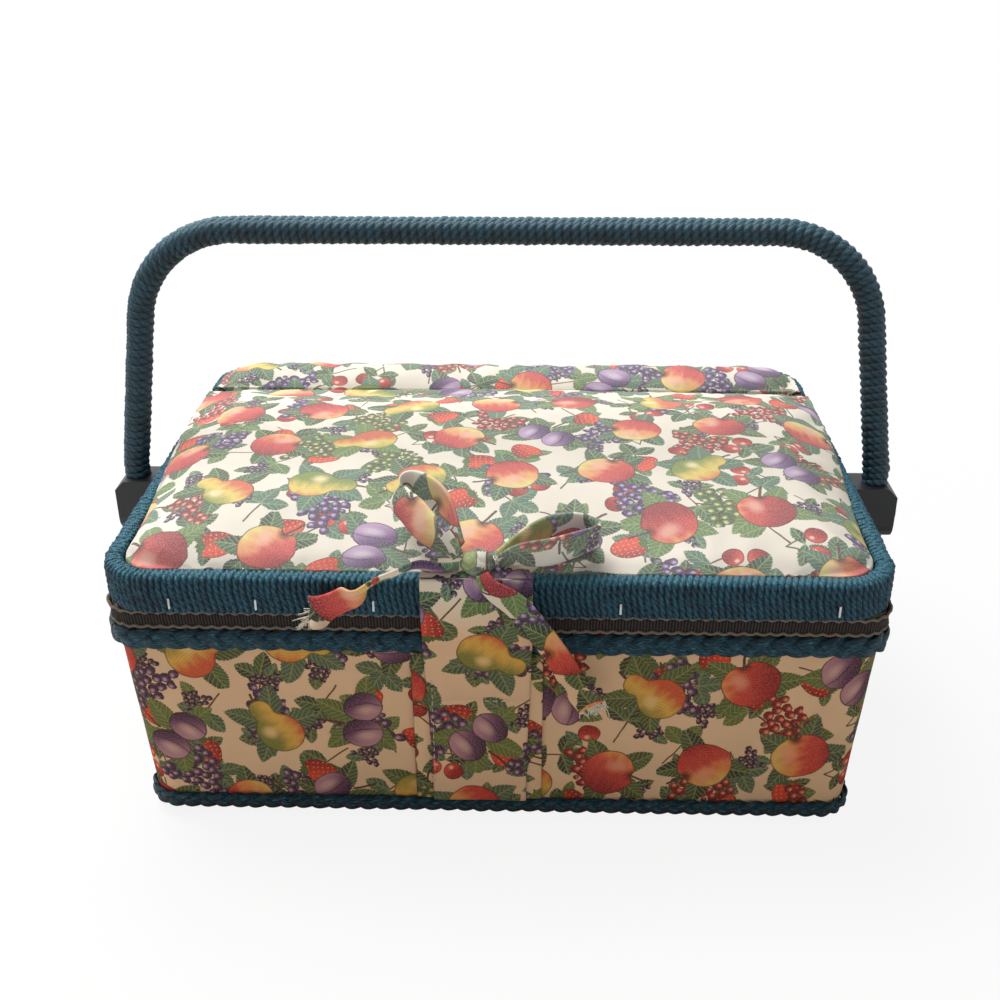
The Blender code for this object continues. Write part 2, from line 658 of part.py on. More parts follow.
def bow_ribbons(knot):
    """The stations of each ribbon, measured from the knot in shares of its length."""
    unit = KNOT_LENGTH

    def station(x, y, z, across, width_share):
        return (knot + unit * Vector((x, y, z)), Vector(across), unit * width_share)

    upright = (0.1, -0.35, 0.93)
    leaning = (0.55, -0.2, 0.8)
    return {
        "bow_loop_right": [
            station(0.54, -0.06, 0.06, upright, 0.40),
            station(1.30, -0.10, 0.30, upright, 0.85),
            station(2.20, 0.10, 0.42, upright, 1.00),
            station(2.95, 0.45, 0.45, upright, 0.85),
            station(3.12, 0.85, 0.50, upright, 0.75),
            station(2.75, 1.12, 0.55, upright, 0.85),
            station(1.90, 0.95, 0.55, upright, 0.90),
            station(1.20, 0.60, 0.42, upright, 0.80),
            station(0.52, 0.14, 0.16, upright, 0.30),
        ],
        "bow_loop_left": [
            station(-0.54, -0.02, 0.14, leaning, 0.32),
            station(-1.05, 0.35, 0.62, leaning, 0.75),
            station(-1.55, 0.80, 0.86, leaning, 0.90),
            station(-2.05, 1.30, 1.02, leaning, 0.80),
            station(-2.20, 1.70, 1.16, leaning, 0.70),
            station(-1.85, 1.85, 1.34, leaning, 0.75),
            station(-1.30, 1.45, 1.22, leaning, 0.85),
            station(-0.85, 0.90, 0.90, leaning, 0.72),
            station(-0.42, 0.28, 0.34, leaning, 0.26),
        ],
        "bow_tail_left": [
            station(-0.53, -0.16, -0.06, (0.1, -0.5, 0.8), 0.26),
            station(-1.30, -0.25, 0.05, (0.2, -0.7, 0.7), 0.60),
            station(-2.10, -0.45, 0.00, (0.3, -0.75, 0.6), 0.62),
            station(-2.80, -0.72, -0.30, (0.5, -0.6, 0.7), 0.62),
            station(-3.50, -0.74, -0.72, (0.55, -0.15, 0.8), 0.75),
            station(-4.30, -0.72, -1.20, (0.6, 0.0, 0.8), 0.90),
        ],
        "bow_tail_right": [
            station(0.14, -0.45, -0.10, (0.7, -0.1, 0.5), 0.34),
            station(0.70, -0.82, -0.60, (0.75, -0.1, 0.5), 0.60),
            station(1.40, -0.84, -1.20, (0.8, -0.1, 0.4), 0.66),
            station(2.00, -0.82, -2.20, (0.9, 0.0, 0.4), 0.62),
            station(2.55, -0.66, -3.20, (0.9, 0.1, 0.45), 0.66),
            station(3.05, -0.50, -4.20, (0.9, 0.1, 0.5), 0.72),
        ],
    }


def prism(name, points, low, high, surface, collection=None):
    """A block with the given outline."""
    bm = bmesh.new()
    loops = [add_loop(bm, points, z) for z in (low, high)]
    loft(bm, loops)
    bm.faces.new(loops[0][::-1])
    bm.faces.new(loops[1])
    return finish_mesh(name, bm, surface, collection)


def make_tray():
    """The lift-out tray: a moulded block with a sunken top and five wells."""
    plastic = material("insert_tray", TRAY_PLASTIC, 0.35)
    inside = COVER_THICKNESS + WALL_THICKNESS + LINING_THICKNESS + 3 * GAP + TRAY_SIDE_CLEARANCE
    inside += body_front(LEDGE_TOP) - body_front(WALL_TOP)
    width = BODY_TOP_WIDTH - 2 * inside
    front = BASKET_BACK - BODY_TOP_DEPTH / 2 + inside
    back = HINGE_Y - TRAY_REAR_CLEARANCE
    bottom = LEDGE_TOP + TRAY_LIFT
    top = bottom + TRAY_HEIGHT
    corner = TRAY_CORNER - TRAY_WALL
    half = width / 2 - TRAY_WALL
    row = back - TRAY_REAR_ROW
    wall = TRAY_WALL / 2
    side = TRAY_MIDDLE_WELL / 2
    tray = prism("insert_tray", outline(width, front, back, TRAY_CORNER), bottom, top, plastic)
    inner = outline(2 * half, front + TRAY_WALL, back - TRAY_WALL, corner)
    sunken = prism("tray_sunken_top", inner, top - TRAY_DIVIDER_DROP, top + CUT_OVERRUN, plastic,
                   CUTTERS)
    boolean(tray, sunken, "DIFFERENCE")
    front_row, rear_row = (front + TRAY_WALL, row - wall), (row + wall, back - TRAY_WALL)
    wells = {
        "front_left": (-half, -side - wall, *front_row),
        "front_middle": (wall - side, side - wall, *front_row),
        "front_right": (side + wall, half, *front_row),
        "rear_left": (-half, -wall, *rear_row),
        "rear_right": (wall, half, *rear_row),
    }
    for label, (left, right, near, far) in wells.items():
        middle = (left + right) / 2
        plan = [(middle + x, y) for x, y in outline(right - left, near, far, corner)]
        well = prism(f"tray_well_{label}", plan, bottom + TRAY_WALL, top + CUT_OVERRUN, plastic,
                     CUTTERS)
        boolean(tray, well, "DIFFERENCE")
    return tray


def handle_route(start_height):
    """The handle's middle line: up from one sleeve, round both corners and down again."""
    radius = HANDLE_DIAMETER / 2
    foot = HANDLE_FOOT
    shoulder = foot - HANDLE_DRAW_IN
    top = HANDLE_TOP - radius
    sleeve_top = PIVOT_HEIGHT + SLEEVE_ABOVE_PIVOT
    lean = math.atan2(foot - shoulder, top - HANDLE_CORNER - sleeve_top)
    middle = shoulder - HANDLE_CORNER * math.cos(lean)
    steps = 8
    right = [(foot, start_height), (foot, sleeve_top + radius)]
    for i in range(steps + 1):
        angle = lean + (math.pi / 2 - lean) * i / steps
        right.append((middle + HANDLE_CORNER * math.cos(angle),
                      top - HANDLE_CORNER + HANDLE_CORNER * math.sin(angle)))
    whole = [(-x, z) for x, z in right] + right[::-1]
    return [(x, PIVOT_Y, z) for x, z in whole]


def make_sleeve(hand, side):
    """The black end socket: the handle's core goes in from above, the rivet across."""
    inner, outer = SLEEVE_INNER, SLEEVE_OUTER
    low, high = PIVOT_HEIGHT - SLEEVE_BELOW_PIVOT, PIVOT_HEIGHT + SLEEVE_ABOVE_PIVOT
    plastic = material(f"sleeve_{hand}", BLACK_PLASTIC, 0.45)
    bm = bmesh.new()
    bmesh.ops.create_cube(bm, size=1.0)
    bmesh.ops.scale(bm, vec=(SLEEVE_WIDTH, SLEEVE_DEPTH, high - low), verts=bm.verts)
    middle = Vector(((inner + outer) / 2, PIVOT_Y, (low + high) / 2))
    bmesh.ops.translate(bm, vec=middle, verts=bm.verts)

    def edges_at(test):
        return [edge for edge in bm.edges if test((edge.verts[0].co + edge.verts[1].co) / 2 - middle)]

    height, half_width = (high - low) / 2, SLEEVE_WIDTH / 2
    bottom = edges_at(lambda p: p.z < PICK_WITHIN - height and abs(p.x) < PICK_WITHIN)
    bmesh.ops.bevel(bm, geom=bottom, offset=SLEEVE_ROUND, segments=4, profile=0.5, affect="EDGES")
    top = edges_at(lambda p: p.z > height - PICK_WITHIN and p.x > half_width - PICK_WITHIN)
    bmesh.ops.bevel(bm, geom=top, offset=SLEEVE_CHAMFER, segments=1, affect="EDGES")
    sleeve = finish_mesh(f"handle_sleeve_{hand}", bm, plastic)
    bore = HANDLE_CORE_DIAMETER / 2 + HANDLE_CORE_CLEARANCE
    socket = turned(f"socket_{hand}",
                    [(0, high + CUT_OVERRUN), (bore, high + CUT_OVERRUN),
                     (bore, high - SOCKET_DEPTH), (0, high - SOCKET_DEPTH)],
                    (HANDLE_FOOT, PIVOT_Y, 0), plastic, collection=CUTTERS)
    pin = RIVET_DIAMETER / 2 + RUNNING_CLEARANCE
    hole = turned(f"pivot_hole_{hand}",
                  [(0, outer + CUT_OVERRUN), (pin, outer + CUT_OVERRUN),
                   (pin, inner - CUT_OVERRUN), (0, inner - CUT_OVERRUN)],
                  (0, PIVOT_Y, PIVOT_HEIGHT), plastic, along_x=True, collection=CUTTERS)
    boolean(sleeve, socket, "DIFFERENCE")
    boolean(sleeve, hole, "DIFFERENCE")
    for piece in (sleeve, socket, hole):
        mirror_to(piece, side)
    return sleeve


def mirror_to(obj, side):
    """Moves a piece that was made on the right to the left side."""
    if side > 0:
        return
    if obj.rotation_euler.y:
        obj.rotation_euler.y = -obj.rotation_euler.y
        return
    if obj.location.x:
        obj.location.x = -obj.location.x
        return
    obj.data.transform(Matrix.Diagonal((-1, 1, 1, 1)))
    obj.data.flip_normals()


def make_rivet(hand, side, wall_pieces):
    """The rivet that the sleeve turns on, its inside washer, its spacer and their hole."""
    steel = material(f"rivet_{hand}", STEEL, 0.35, 1.0)
    lining_face = COVER_AT_PIVOT - COVER_THICKNESS - WALL_THICKNESS - LINING_THICKNESS - 2 * GAP
    pin, head = RIVET_DIAMETER / 2, RIVET_HEAD_DIAMETER / 2
    washer_outer = lining_face - GAP
    inner_head = washer_outer - WASHER_THICKNESS - GAP
    outer_head = SLEEVE_OUTER + GAP
    profile = [(0, outer_head + RIVET_HEAD), (head, outer_head + RIVET_HEAD),
               (head, outer_head), (pin, outer_head), (pin, inner_head), (head, inner_head),
               (head, inner_head - RIVET_HEAD), (0, inner_head - RIVET_HEAD)]
    place = (0, PIVOT_Y, PIVOT_HEIGHT)
    rivet = turned(f"pivot_rivet_{hand}", profile, place, steel, along_x=True)
    bore = pin + RUNNING_CLEARANCE
    disc = WASHER_DIAMETER / 2
    washer = turned(f"pivot_washer_{hand}",
                    [(disc, washer_outer), (disc, washer_outer - WASHER_THICKNESS),
                     (bore, washer_outer - WASHER_THICKNESS), (bore, washer_outer)],
                    place, steel, along_x=True, closed=True)
    spacer = turned(f"pivot_spacer_{hand}",
                    [(disc, SLEEVE_INNER - GAP), (disc, BRAID_FACE + GAP),
                     (bore, BRAID_FACE + GAP), (bore, SLEEVE_INNER - GAP)],
                    place, material(f"spacer_{hand}", BLACK_PLASTIC, 0.5),
                    along_x=True, closed=True)
    hole = turned(f"rivet_hole_{hand}",
                  [(0, BRAID_FACE + CUT_OVERRUN), (bore, BRAID_FACE + CUT_OVERRUN),
                   (bore, inner_head), (0, inner_head)],
                  place, steel, along_x=True, collection=CUTTERS)
    for piece in (rivet, washer, spacer, hole):
        mirror_to(piece, side)
    for wall in wall_pieces:
        boolean(wall, hole, "DIFFERENCE")
    return rivet


def make_handle():
    """The bail: a bent core, the cord wound on it and its two sleeves."""
    sleeve_top = PIVOT_HEIGHT + SLEEVE_ABOVE_PIVOT
    core_radius = HANDLE_CORE_DIAMETER / 2
    core_route = handle_route(sleeve_top - SOCKET_DEPTH + GAP)
    wrap_route = handle_route(sleeve_top + GAP)
    core = tube_mesh("handle_core", core_route, core_radius, 8,
                     material("handle_core", BLACK_PLASTIC, 0.6))
    wrap = tube_mesh("handle_cord", wrap_route, HANDLE_DIAMETER / 2, 12,
                     material("handle_cord", DARK_TEAL, 0.55))
    bore = tube_mesh("handle_bore", core_route, core_radius + HANDLE_CORE_CLEARANCE, 8,
                     core.data.materials[0], CUTTERS)
    boolean(wrap, bore, "DIFFERENCE")
    return [core, wrap, make_sleeve("left", -1), make_sleeve("right", 1)]


clear_scene()
BASKET = new_collection("sewing_basket")
CUTTERS = new_collection("cutters")
make_feet()
box_pieces = make_box()
top_braid = make_trims()
make_strap()
make_deck()
make_tray()
lid_pieces = make_lid() + make_bow()
handle_pieces = make_handle()
pierced = [top_braid, *box_pieces.values()]
rivets = [make_rivet("left", -1, pierced), make_rivet("right", 1, pierced)]
hang_on("lid_hinge_axis", (0, HINGE_Y, HINGE_Z), lid_pieces)
hang_on("handle_axis", (0, PIVOT_Y, PIVOT_HEIGHT), handle_pieces + rivets)
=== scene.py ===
"""The sewing basket as it looks: printed cotton over the box and the padded lid, wound
cord on the rims and the handle, braid and gimp round the box, and the tied bow."""

import math

import bpy
import numpy as np
from mathutils import Matrix, Vector


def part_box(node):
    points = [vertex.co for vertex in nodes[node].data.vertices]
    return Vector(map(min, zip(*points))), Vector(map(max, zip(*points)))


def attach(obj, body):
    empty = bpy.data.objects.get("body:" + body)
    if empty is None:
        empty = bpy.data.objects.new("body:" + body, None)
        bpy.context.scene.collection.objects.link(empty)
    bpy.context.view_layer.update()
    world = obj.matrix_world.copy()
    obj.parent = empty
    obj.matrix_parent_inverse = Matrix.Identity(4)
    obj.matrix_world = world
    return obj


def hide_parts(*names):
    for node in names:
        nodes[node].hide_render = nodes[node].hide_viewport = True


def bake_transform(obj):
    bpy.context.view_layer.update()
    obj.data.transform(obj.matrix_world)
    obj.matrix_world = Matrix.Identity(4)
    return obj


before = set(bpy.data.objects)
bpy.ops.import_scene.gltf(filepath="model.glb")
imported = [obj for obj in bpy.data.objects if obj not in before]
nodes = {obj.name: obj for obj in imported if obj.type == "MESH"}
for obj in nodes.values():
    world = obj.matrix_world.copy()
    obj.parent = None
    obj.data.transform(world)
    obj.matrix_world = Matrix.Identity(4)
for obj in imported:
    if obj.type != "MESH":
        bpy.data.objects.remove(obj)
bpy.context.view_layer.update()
bpy.ops.object.select_all(action="DESELECT")

MM = 0.001


# ---------------------------------------------------------------- camera, light and floor

def set_camera():
    """The photograph's camera: a little left of the middle, looking down at the front."""
    yaw, pitch, roll = (math.radians(angle) for angle in (-1.68, 26.66, 0.16))
    forward = Vector((math.sin(yaw) * math.cos(pitch), math.cos(yaw) * math.cos(pitch),
                      -math.sin(pitch)))
    right = Vector((math.cos(yaw), -math.sin(yaw), 0))
    down = forward.cross(right)
    level = right * math.cos(roll) + down * math.sin(roll)
    lower = down * math.cos(roll) - right * math.sin(roll)
    view = Matrix((level, -lower, -forward)).transposed().to_4x4()
    view.translation = (0.0125, -0.4642, 0.3268)
    data = bpy.data.cameras.new("camera")
    data.lens = 44.75
    data.sensor_width = 36
    data.clip_start = 0.01
    camera = bpy.data.objects.new("camera", data)
    camera.matrix_world = view
    bpy.context.scene.collection.objects.link(camera)
    bpy.context.scene.camera = camera


def add_lamp(name, place, target, size, watts, colour):
    data = bpy.data.lights.new(name, "AREA")
    data.shape = "RECTANGLE"
    data.size, data.size_y = size
    data.energy = watts
    data.color = colour
    lamp = bpy.data.objects.new(name, data)
    lamp.location = place
    lamp.rotation_euler = (Vector(target) - Vector(place)).to_track_quat("-Z", "Y").to_euler()
    bpy.context.scene.collection.objects.link(lamp)


# ---------------------------------------------------------------- finishes

WHITE = (1, 1, 1, 1)


class Wire:
    """A link in a finish: a number, colour or vector, with arithmetic."""

    def __init__(self, tree, socket=None):
        self.tree = tree
        self.socket = socket

    def node(self, kind, settings=(), values=(), output=0):
        """Adds a node with its settings and its sockets' values or links."""
        made = self.tree.nodes.new(kind)
        settings = dict(settings)
        stops = settings.pop("stops", None)
        for key, value in settings.items():
            setattr(made, key, value)
        if stops:
            elements = made.color_ramp.elements
            while len(elements) < len(stops):
                elements.new(0.5)
            for element, (place, colour) in zip(elements, stops):
                element.position = place
                element.color = colour
        for key, value in dict(values).items():
            if isinstance(value, Wire):
                self.tree.links.new(value.socket, made.inputs[key])
            else:
                made.inputs[key].default_value = value
        return Wire(self.tree, made.outputs[output])

    def maths(self, operation, *values):
        """A Math node on all of these values, of which this wire is one only if given."""
        return self.node("ShaderNodeMath", {"operation": operation}, enumerate(values))

    def __add__(self, other):
        return self.maths("ADD", self, other)

    def __sub__(self, other):
        return self.maths("SUBTRACT", self, other)

    def __rsub__(self, other):
        return self.maths("SUBTRACT", other, self)

    def __mul__(self, other):
        return self.maths("MULTIPLY", self, other)

    def __truediv__(self, other):
        return self.maths("DIVIDE", self, other)

    def __mod__(self, other):
        return self.maths("FLOORED_MODULO", self, other)

    def __pow__(self, other):
        return self.maths("POWER", self, other)

    def __abs__(self):
        return self.maths("ABSOLUTE", self)

    def __neg__(self):
        return self.maths("MULTIPLY", self, -1)

    __radd__ = __add__
    __rmul__ = __mul__

    def floor(self):
        return self.maths("FLOOR", self)

    def sine(self):
        return self.maths("SINE", self)

    def cosine(self):
        return self.maths("COSINE", self)

    def least(self, other):
        return self.maths("MINIMUM", self, other)

    def most(self, other):
        return self.maths("MAXIMUM", self, other)

    def between(self, low, high):
        """0 up to low and 1 from high, smoothly."""
        return self.node("ShaderNodeMapRange", {"interpolation_type": "SMOOTHSTEP"},
                         {0: self, 1: low, 2: high, 3: 0.0, 4: 1.0})

    def blend(self, first, second):
        """The first colour where this is 0, the second where it is 1."""
        return self.node("ShaderNodeMix", {"data_type": "RGBA"},
                         {0: self, 6: first, 7: second}, 2)

    def noise(self, scale, detail=2.0, output=0):
        """Noise at this vector: output 0 is a number, 1 a colour."""
        return self.node("ShaderNodeTexNoise", {},
                         {"Vector": self, "Scale": scale, "Detail": detail}, output)

    def part(self, axis):
        """This vector's x, y or z, or this colour's red, green or blue."""
        return self.node("ShaderNodeSeparateXYZ", {}, {0: self}, axis)

    def with_parts(self, x, y, z=0.0):
        return self.node("ShaderNodeCombineXYZ", {}, {0: x, 1: y, 2: z})


def rgb(red, green, blue):
    """A colour given as it looks on a screen, 0 to 255."""
    shades = [value / 255 for value in (red, green, blue)]
    return tuple(s / 12.92 if s <= 0.04045 else ((s + 0.055) / 1.055) ** 2.4
                 for s in shades) + (1.0,)


def start_finish(name):
    """A new material, its Principled shader's inputs and a first wire."""
    made = bpy.data.materials.new(name)
    made.use_nodes = True
    shader = made.node_tree.nodes["Principled BSDF"]
    return made, shader, Wire(made.node_tree)


def connect(wire, shader, **inputs):
    """Links or sets the shader's inputs; a name's underscores stand for spaces."""
    for name, value in inputs.items():
        socket = shader.inputs[name.replace("_", " ")]
        if isinstance(value, Wire):
            wire.tree.links.new(value.socket, socket)
        else:
            socket.default_value = value


def bump(wire, height, distance, strength=1.0):
    return wire.node("ShaderNodeBump", {}, {"Height": height, "Distance": distance,
                                            "Strength": strength})


def run_map(wire):
    """The piece's own map, in metres along it and across it."""
    return wire.node("ShaderNodeUVMap", {"uv_map": "run"})


# The print: fruit and leaves in loosely spaced places.

PRINT_SCALE = 1.25      # millimetres on the cloth for each unit of the motifs below
EDGE = 0.1              # half the softness of a printed edge
FULL_TURN = 2 * math.pi


def place_in_cell(wire, x, y, size, seed, tilt, jitter, turn):
    """Local x and y of the nearest motif's place, turned its own way, and its two lots."""
    slope, rise = math.cos(tilt), math.sin(tilt)
    across = x * slope - y * rise + seed * 7.3
    up = x * rise + y * slope + seed * 3.9
    row = (up / size).floor()
    shifted = across + (row % 2) * (size / 2)
    column = (shifted / size).floor()
    lots = wire.node("ShaderNodeTexWhiteNoise", {"noise_dimensions": "3D"},
                     {"Vector": wire.with_parts(column, row, seed)}, 1)
    first, second, third = lots.part(0), lots.part(1), lots.part(2)
    near_x = shifted - column * size - size / 2 + (first - 0.5) * jitter
    near_y = up - row * size - size / 2 + (second - 0.5) * jitter
    angle = (third - 0.5) * turn
    c, s = angle.cosine(), angle.sine()
    return near_x * c - near_y * s, near_x * s + near_y * c, first, second


def length(x, y):
    return (x * x + y * y) ** 0.5


def leaf(x, y, reach, width, angle, mirrored=False):
    """How far inside a toothed leaf that leaves the middle at an angle, and its veins."""
    across = abs(x) if mirrored else x
    c, s = math.cos(angle), math.sin(angle)
    along = across * c + y * s
    off = y * c - across * s
    part = (along / reach).most(0.0).least(1.0)
    tooth = ((along * 0.9 - abs(off) * 0.6) % 1.0) * 0.42
    inside = (part * math.pi).sine() ** 0.8 * width - tooth - abs(off)
    side_vein = ((along * 0.55 - abs(off) * 0.55) % 1.0).between(0.28, 0.12)
    middle_vein = abs(off).between(0.34, 0.12)
    return inside, side_vein.most(middle_vein), off


def leaf_colour(veins, off, mood):
    """Dark on one half and lighter on the other, each leaf a little greener or bluer."""
    dark = off.between(-0.7, 1.0).blend(rgb(26, 62, 56), rgb(60, 104, 74))
    tinted = mood.between(0.5, 0.95).blend(dark, rgb(96, 132, 74))
    tinted = mood.between(0.4, 0.1).blend(tinted, rgb(70, 118, 108))
    return (veins * 0.8).blend(tinted, rgb(146, 172, 124))


def ink(inside):
    """The thin dark line just inside a motif's edge."""
    return inside.between(0.55, 0.15)


def hatch(x, y, reach, pitch):
    """Fine drawn lines that follow a round fruit's swell."""
    swell = (1 - (y / reach) ** 2).most(0.08) ** 0.5
    lines = (x / swell * (FULL_TURN / pitch)).sine()
    return lines.between(0.35, 0.85)


def apple(wire, x, y, blush):
    inside = 8.8 - length(x, y * 1.06)
    dent = length(x - 0.6, y - 10.6) - 3.3
    inside = inside.least(dent)
    blotch = wire.with_parts(x * 0.35, y).noise(0.5, 2.0) - 0.5
    side = x * 0.075 - y * 0.03 + (blush - 0.4) * 0.9 + blotch * 0.8
    skin = side.between(-0.75, -0.2).blend(rgb(240, 222, 140), rgb(242, 160, 106))
    skin = side.between(-0.35, 0.1).blend(skin, rgb(216, 78, 78))
    skin = side.between(0.1, 0.9).blend(skin, rgb(158, 34, 54))
    glow = length(x + 2.8, y * 0.7 - 1.6).between(3.8, 0.4) * 0.75
    skin = glow.blend(skin, rgb(250, 196, 176))
    lines = hatch(x, y, 9.0, 0.85) * (0.08 + side.between(-0.3, 0.9) * 0.24)
    skin = lines.blend(skin, rgb(136, 24, 42))
    skin = length(x - 0.4, y - 7.2).between(3.0, 0.4).blend(skin, rgb(96, 40, 34))
    return inside, (ink(inside) * 0.85).blend(skin, rgb(84, 18, 26))


def pear(wire, x, y, blush):
    belly = length(x, y + 3.2) - 7.4
    neck = length(x - 0.8, y - 6.6) - 3.6
    joined = wire.node("ShaderNodeMath", {"operation": "SMOOTH_MIN"}, {0: belly, 1: neck, 2: 5.0})
    inside = -joined
    side = x * 0.11 + (blush - 0.5) * 0.9 - y * 0.02
    side = side + (wire.with_parts(x * 0.4, y).noise(0.4, 2.0) - 0.5) * 0.9
    skin = side.between(-0.75, 0.1).blend(rgb(128, 152, 76), rgb(240, 214, 112))
    skin = side.between(0.0, 0.7).blend(skin, rgb(222, 104, 74))
    skin = length(x + 2.6, y + 1.0).between(3.4, 0.4).blend(skin, rgb(248, 236, 180))
    lines = hatch(x, y + 2, 11.0, 0.95) * 0.22
    skin = lines.blend(skin, rgb(112, 96, 44))
    return inside, (ink(inside) * 0.8).blend(skin, rgb(70, 72, 30))


def plums(wire, x, y, blush):
    left_x, left_y = x + 4.6, (y - 0.8) * 0.82
    right_x, right_y = x - 4.8, (y + 1.4) * 0.84
    left, right = 5.4 - length(left_x, left_y), 5.2 - length(right_x, right_y)
    inside = left.most(right)
    pick = (left - right).between(-0.05, 0.05)
    near_x = right_x + (left_x - right_x) * pick
    near_y = right_y + (left_y - right_y) * pick
    shade = near_x * 0.16 + near_y * 0.1
    skin = shade.between(-0.9, 0.55).blend(rgb(196, 164, 206), rgb(104, 70, 132))
    skin = shade.between(0.2, 1.0).blend(skin, rgb(54, 34, 82))
    glow = length(near_x + 1.2, near_y * 0.6 + 0.4).between(2.6, 0.3) * 0.7
    skin = glow.blend(skin, rgb(236, 220, 236))
    crease = abs(near_x - 1.3 + near_y * near_y * 0.05).between(0.4, 0.1) * 0.6
    skin = crease.blend(skin, rgb(44, 22, 62))
    lines = hatch(near_x, near_y, 5.6, 0.75) * 0.28
    skin = lines.blend(skin, rgb(66, 40, 96))
    return inside, (ink(inside) * 0.8).blend(skin, rgb(34, 20, 50))


def bunch(wire, x, y, pitch, tall, wide, colours):
    """Round fruits packed in a hanging bunch: each is wholly in or wholly out of it."""
    spot = wire.node("ShaderNodeTexVoronoi", {"voronoi_dimensions": "2D"},
                     {"Vector": wire.with_parts(x, y), "Scale": 1 / pitch,
                      "Randomness": 0.42}, 2)
    centre_x, centre_y = spot.part(0), spot.part(1)
    drop = (centre_y + tall / 2) / tall
    room = drop.most(0.0) ** 0.7 * wide - abs(centre_x)
    shown = (room.between(-EDGE, EDGE) * (tall / 2 - centre_y).between(-EDGE, EDGE)
             * drop.between(0.0, 0.02))
    near_x, near_y = x - centre_x, y - centre_y
    inside = (pitch * 0.56 - length(near_x, near_y)) * shown - (1 - shown)
    light = length(near_x + pitch * 0.16, near_y - pitch * 0.18).between(pitch * 0.5, 0.1)
    pale, plain, dark = colours
    skin = light.blend(dark, plain)
    skin = (light ** 3).blend(skin, pale)
    return inside, inside.between(0.34, 0.05).blend(skin, dark)


def strawberry(wire, x, y):
    inside = 4.6 - length(x * (1.0 - y * 0.045), y * 0.82 + 0.3)
    seeds = wire.node("ShaderNodeTexVoronoi", {"voronoi_dimensions": "2D"},
                      {"Vector": wire.with_parts(x, y), "Scale": 0.62, "Randomness": 0.2})
    skin = (x * 0.2 + 0.4).between(0.0, 1.2).blend(rgb(232, 74, 58), rgb(160, 22, 36))
    skin = seeds.between(0.2, 0.12).blend(skin, rgb(236, 170, 120))
    return inside, (ink(inside) * 0.7).blend(skin, rgb(96, 14, 24))


def stroke(x, y, start, end, thick):
    """How far inside a thin stalk between two points."""
    run = (end[0] - start[0], end[1] - start[1])
    square = run[0] ** 2 + run[1] ** 2
    along = (((x - start[0]) * run[0] + (y - start[1]) * run[1]) / square).most(0.0).least(1.0)
    return thick - length(x - start[0] - along * run[0], y - start[1] - along * run[1])


def paint(below, inside, colour):
    """Paints a motif over what is below it."""
    return inside.between(-EDGE, EDGE).blend(below, colour)


def shown_where(inside, chosen):
    """A motif's inside where it is chosen (1), and nowhere else (0)."""
    return inside.least(chosen * 20 - 10)


def leaves_layer(wire, x, y, size, seed, tilt, below, reach):
    """Sprigs of leaves that fill the ground between the fruits."""
    x, y, mood, _ = place_in_cell(wire, x, y, size, seed, tilt, size * 0.1, 6.28)
    stalk = stroke(x, y, (0.0, -reach * 0.95), (0.4, reach * 0.3), 0.26)
    below = paint(below, stalk, rgb(84, 66, 48))
    for angle, share, mirrored in ((0.3, 0.92, True), (1.57, 1.0, False)):
        inside, veins, off = leaf(x, y, reach * share, reach * 0.31, angle, mirrored)
        below = paint(below, inside, leaf_colour(veins, off, mood))
    return below


def small_layer(wire, x, y, size, seed, tilt, below):
    """Cherries on their stalks, strawberries and little dark berries."""
    x, y, first, second = place_in_cell(wire, x, y, size, seed, tilt, size * 0.16, 6.28)
    kind = (second * 3).floor()
    is_cherry = 1 - kind.least(1.0)
    is_straw = kind.maths("COMPARE", kind, 1.0, 0.1)
    is_berry = kind.maths("COMPARE", kind, 2.0, 0.1)
    inside, veins, off = leaf(x, y - 1.0, 7.8, 2.2, 0.35, True)
    below = paint(below, inside, leaf_colour(veins, off, first))
    stalks = stroke(abs(x), y, (0.0, 6.4), (3.6, -1.0), 0.26)
    below = paint(below, shown_where(stalks, is_cherry), rgb(88, 92, 48))
    side_x = abs(x) - 3.7
    cherries = 3.3 - length(side_x, y + 2.6)
    tone = (side_x * 0.2 - y * 0.1).between(-0.6, 0.7)
    skin = tone.blend(rgb(236, 92, 82), rgb(158, 22, 40))
    skin = length(side_x + 1.1, y + 1.4).between(1.1, 0.3).blend(skin, rgb(252, 214, 196))
    skin = (ink(cherries) * 0.7).blend(skin, rgb(90, 14, 26))
    below = paint(below, shown_where(cherries, is_cherry), skin)
    inside, skin = strawberry(wire, x, y + 1.0)
    below = paint(below, shown_where(inside, is_straw), skin)
    cap = 2.5 - abs(x) * 0.55 - abs(y - 3.4) * 1.4 - ((x * 0.8) % 1.0)
    below = paint(below, shown_where(cap, is_straw), rgb(70, 110, 60))
    inside, skin = bunch(wire, x, y, 1.9, 9.0, 4.2,
                         (rgb(176, 150, 200), rgb(78, 52, 110), rgb(32, 20, 52)))
    return paint(below, shown_where(inside, is_berry), skin)


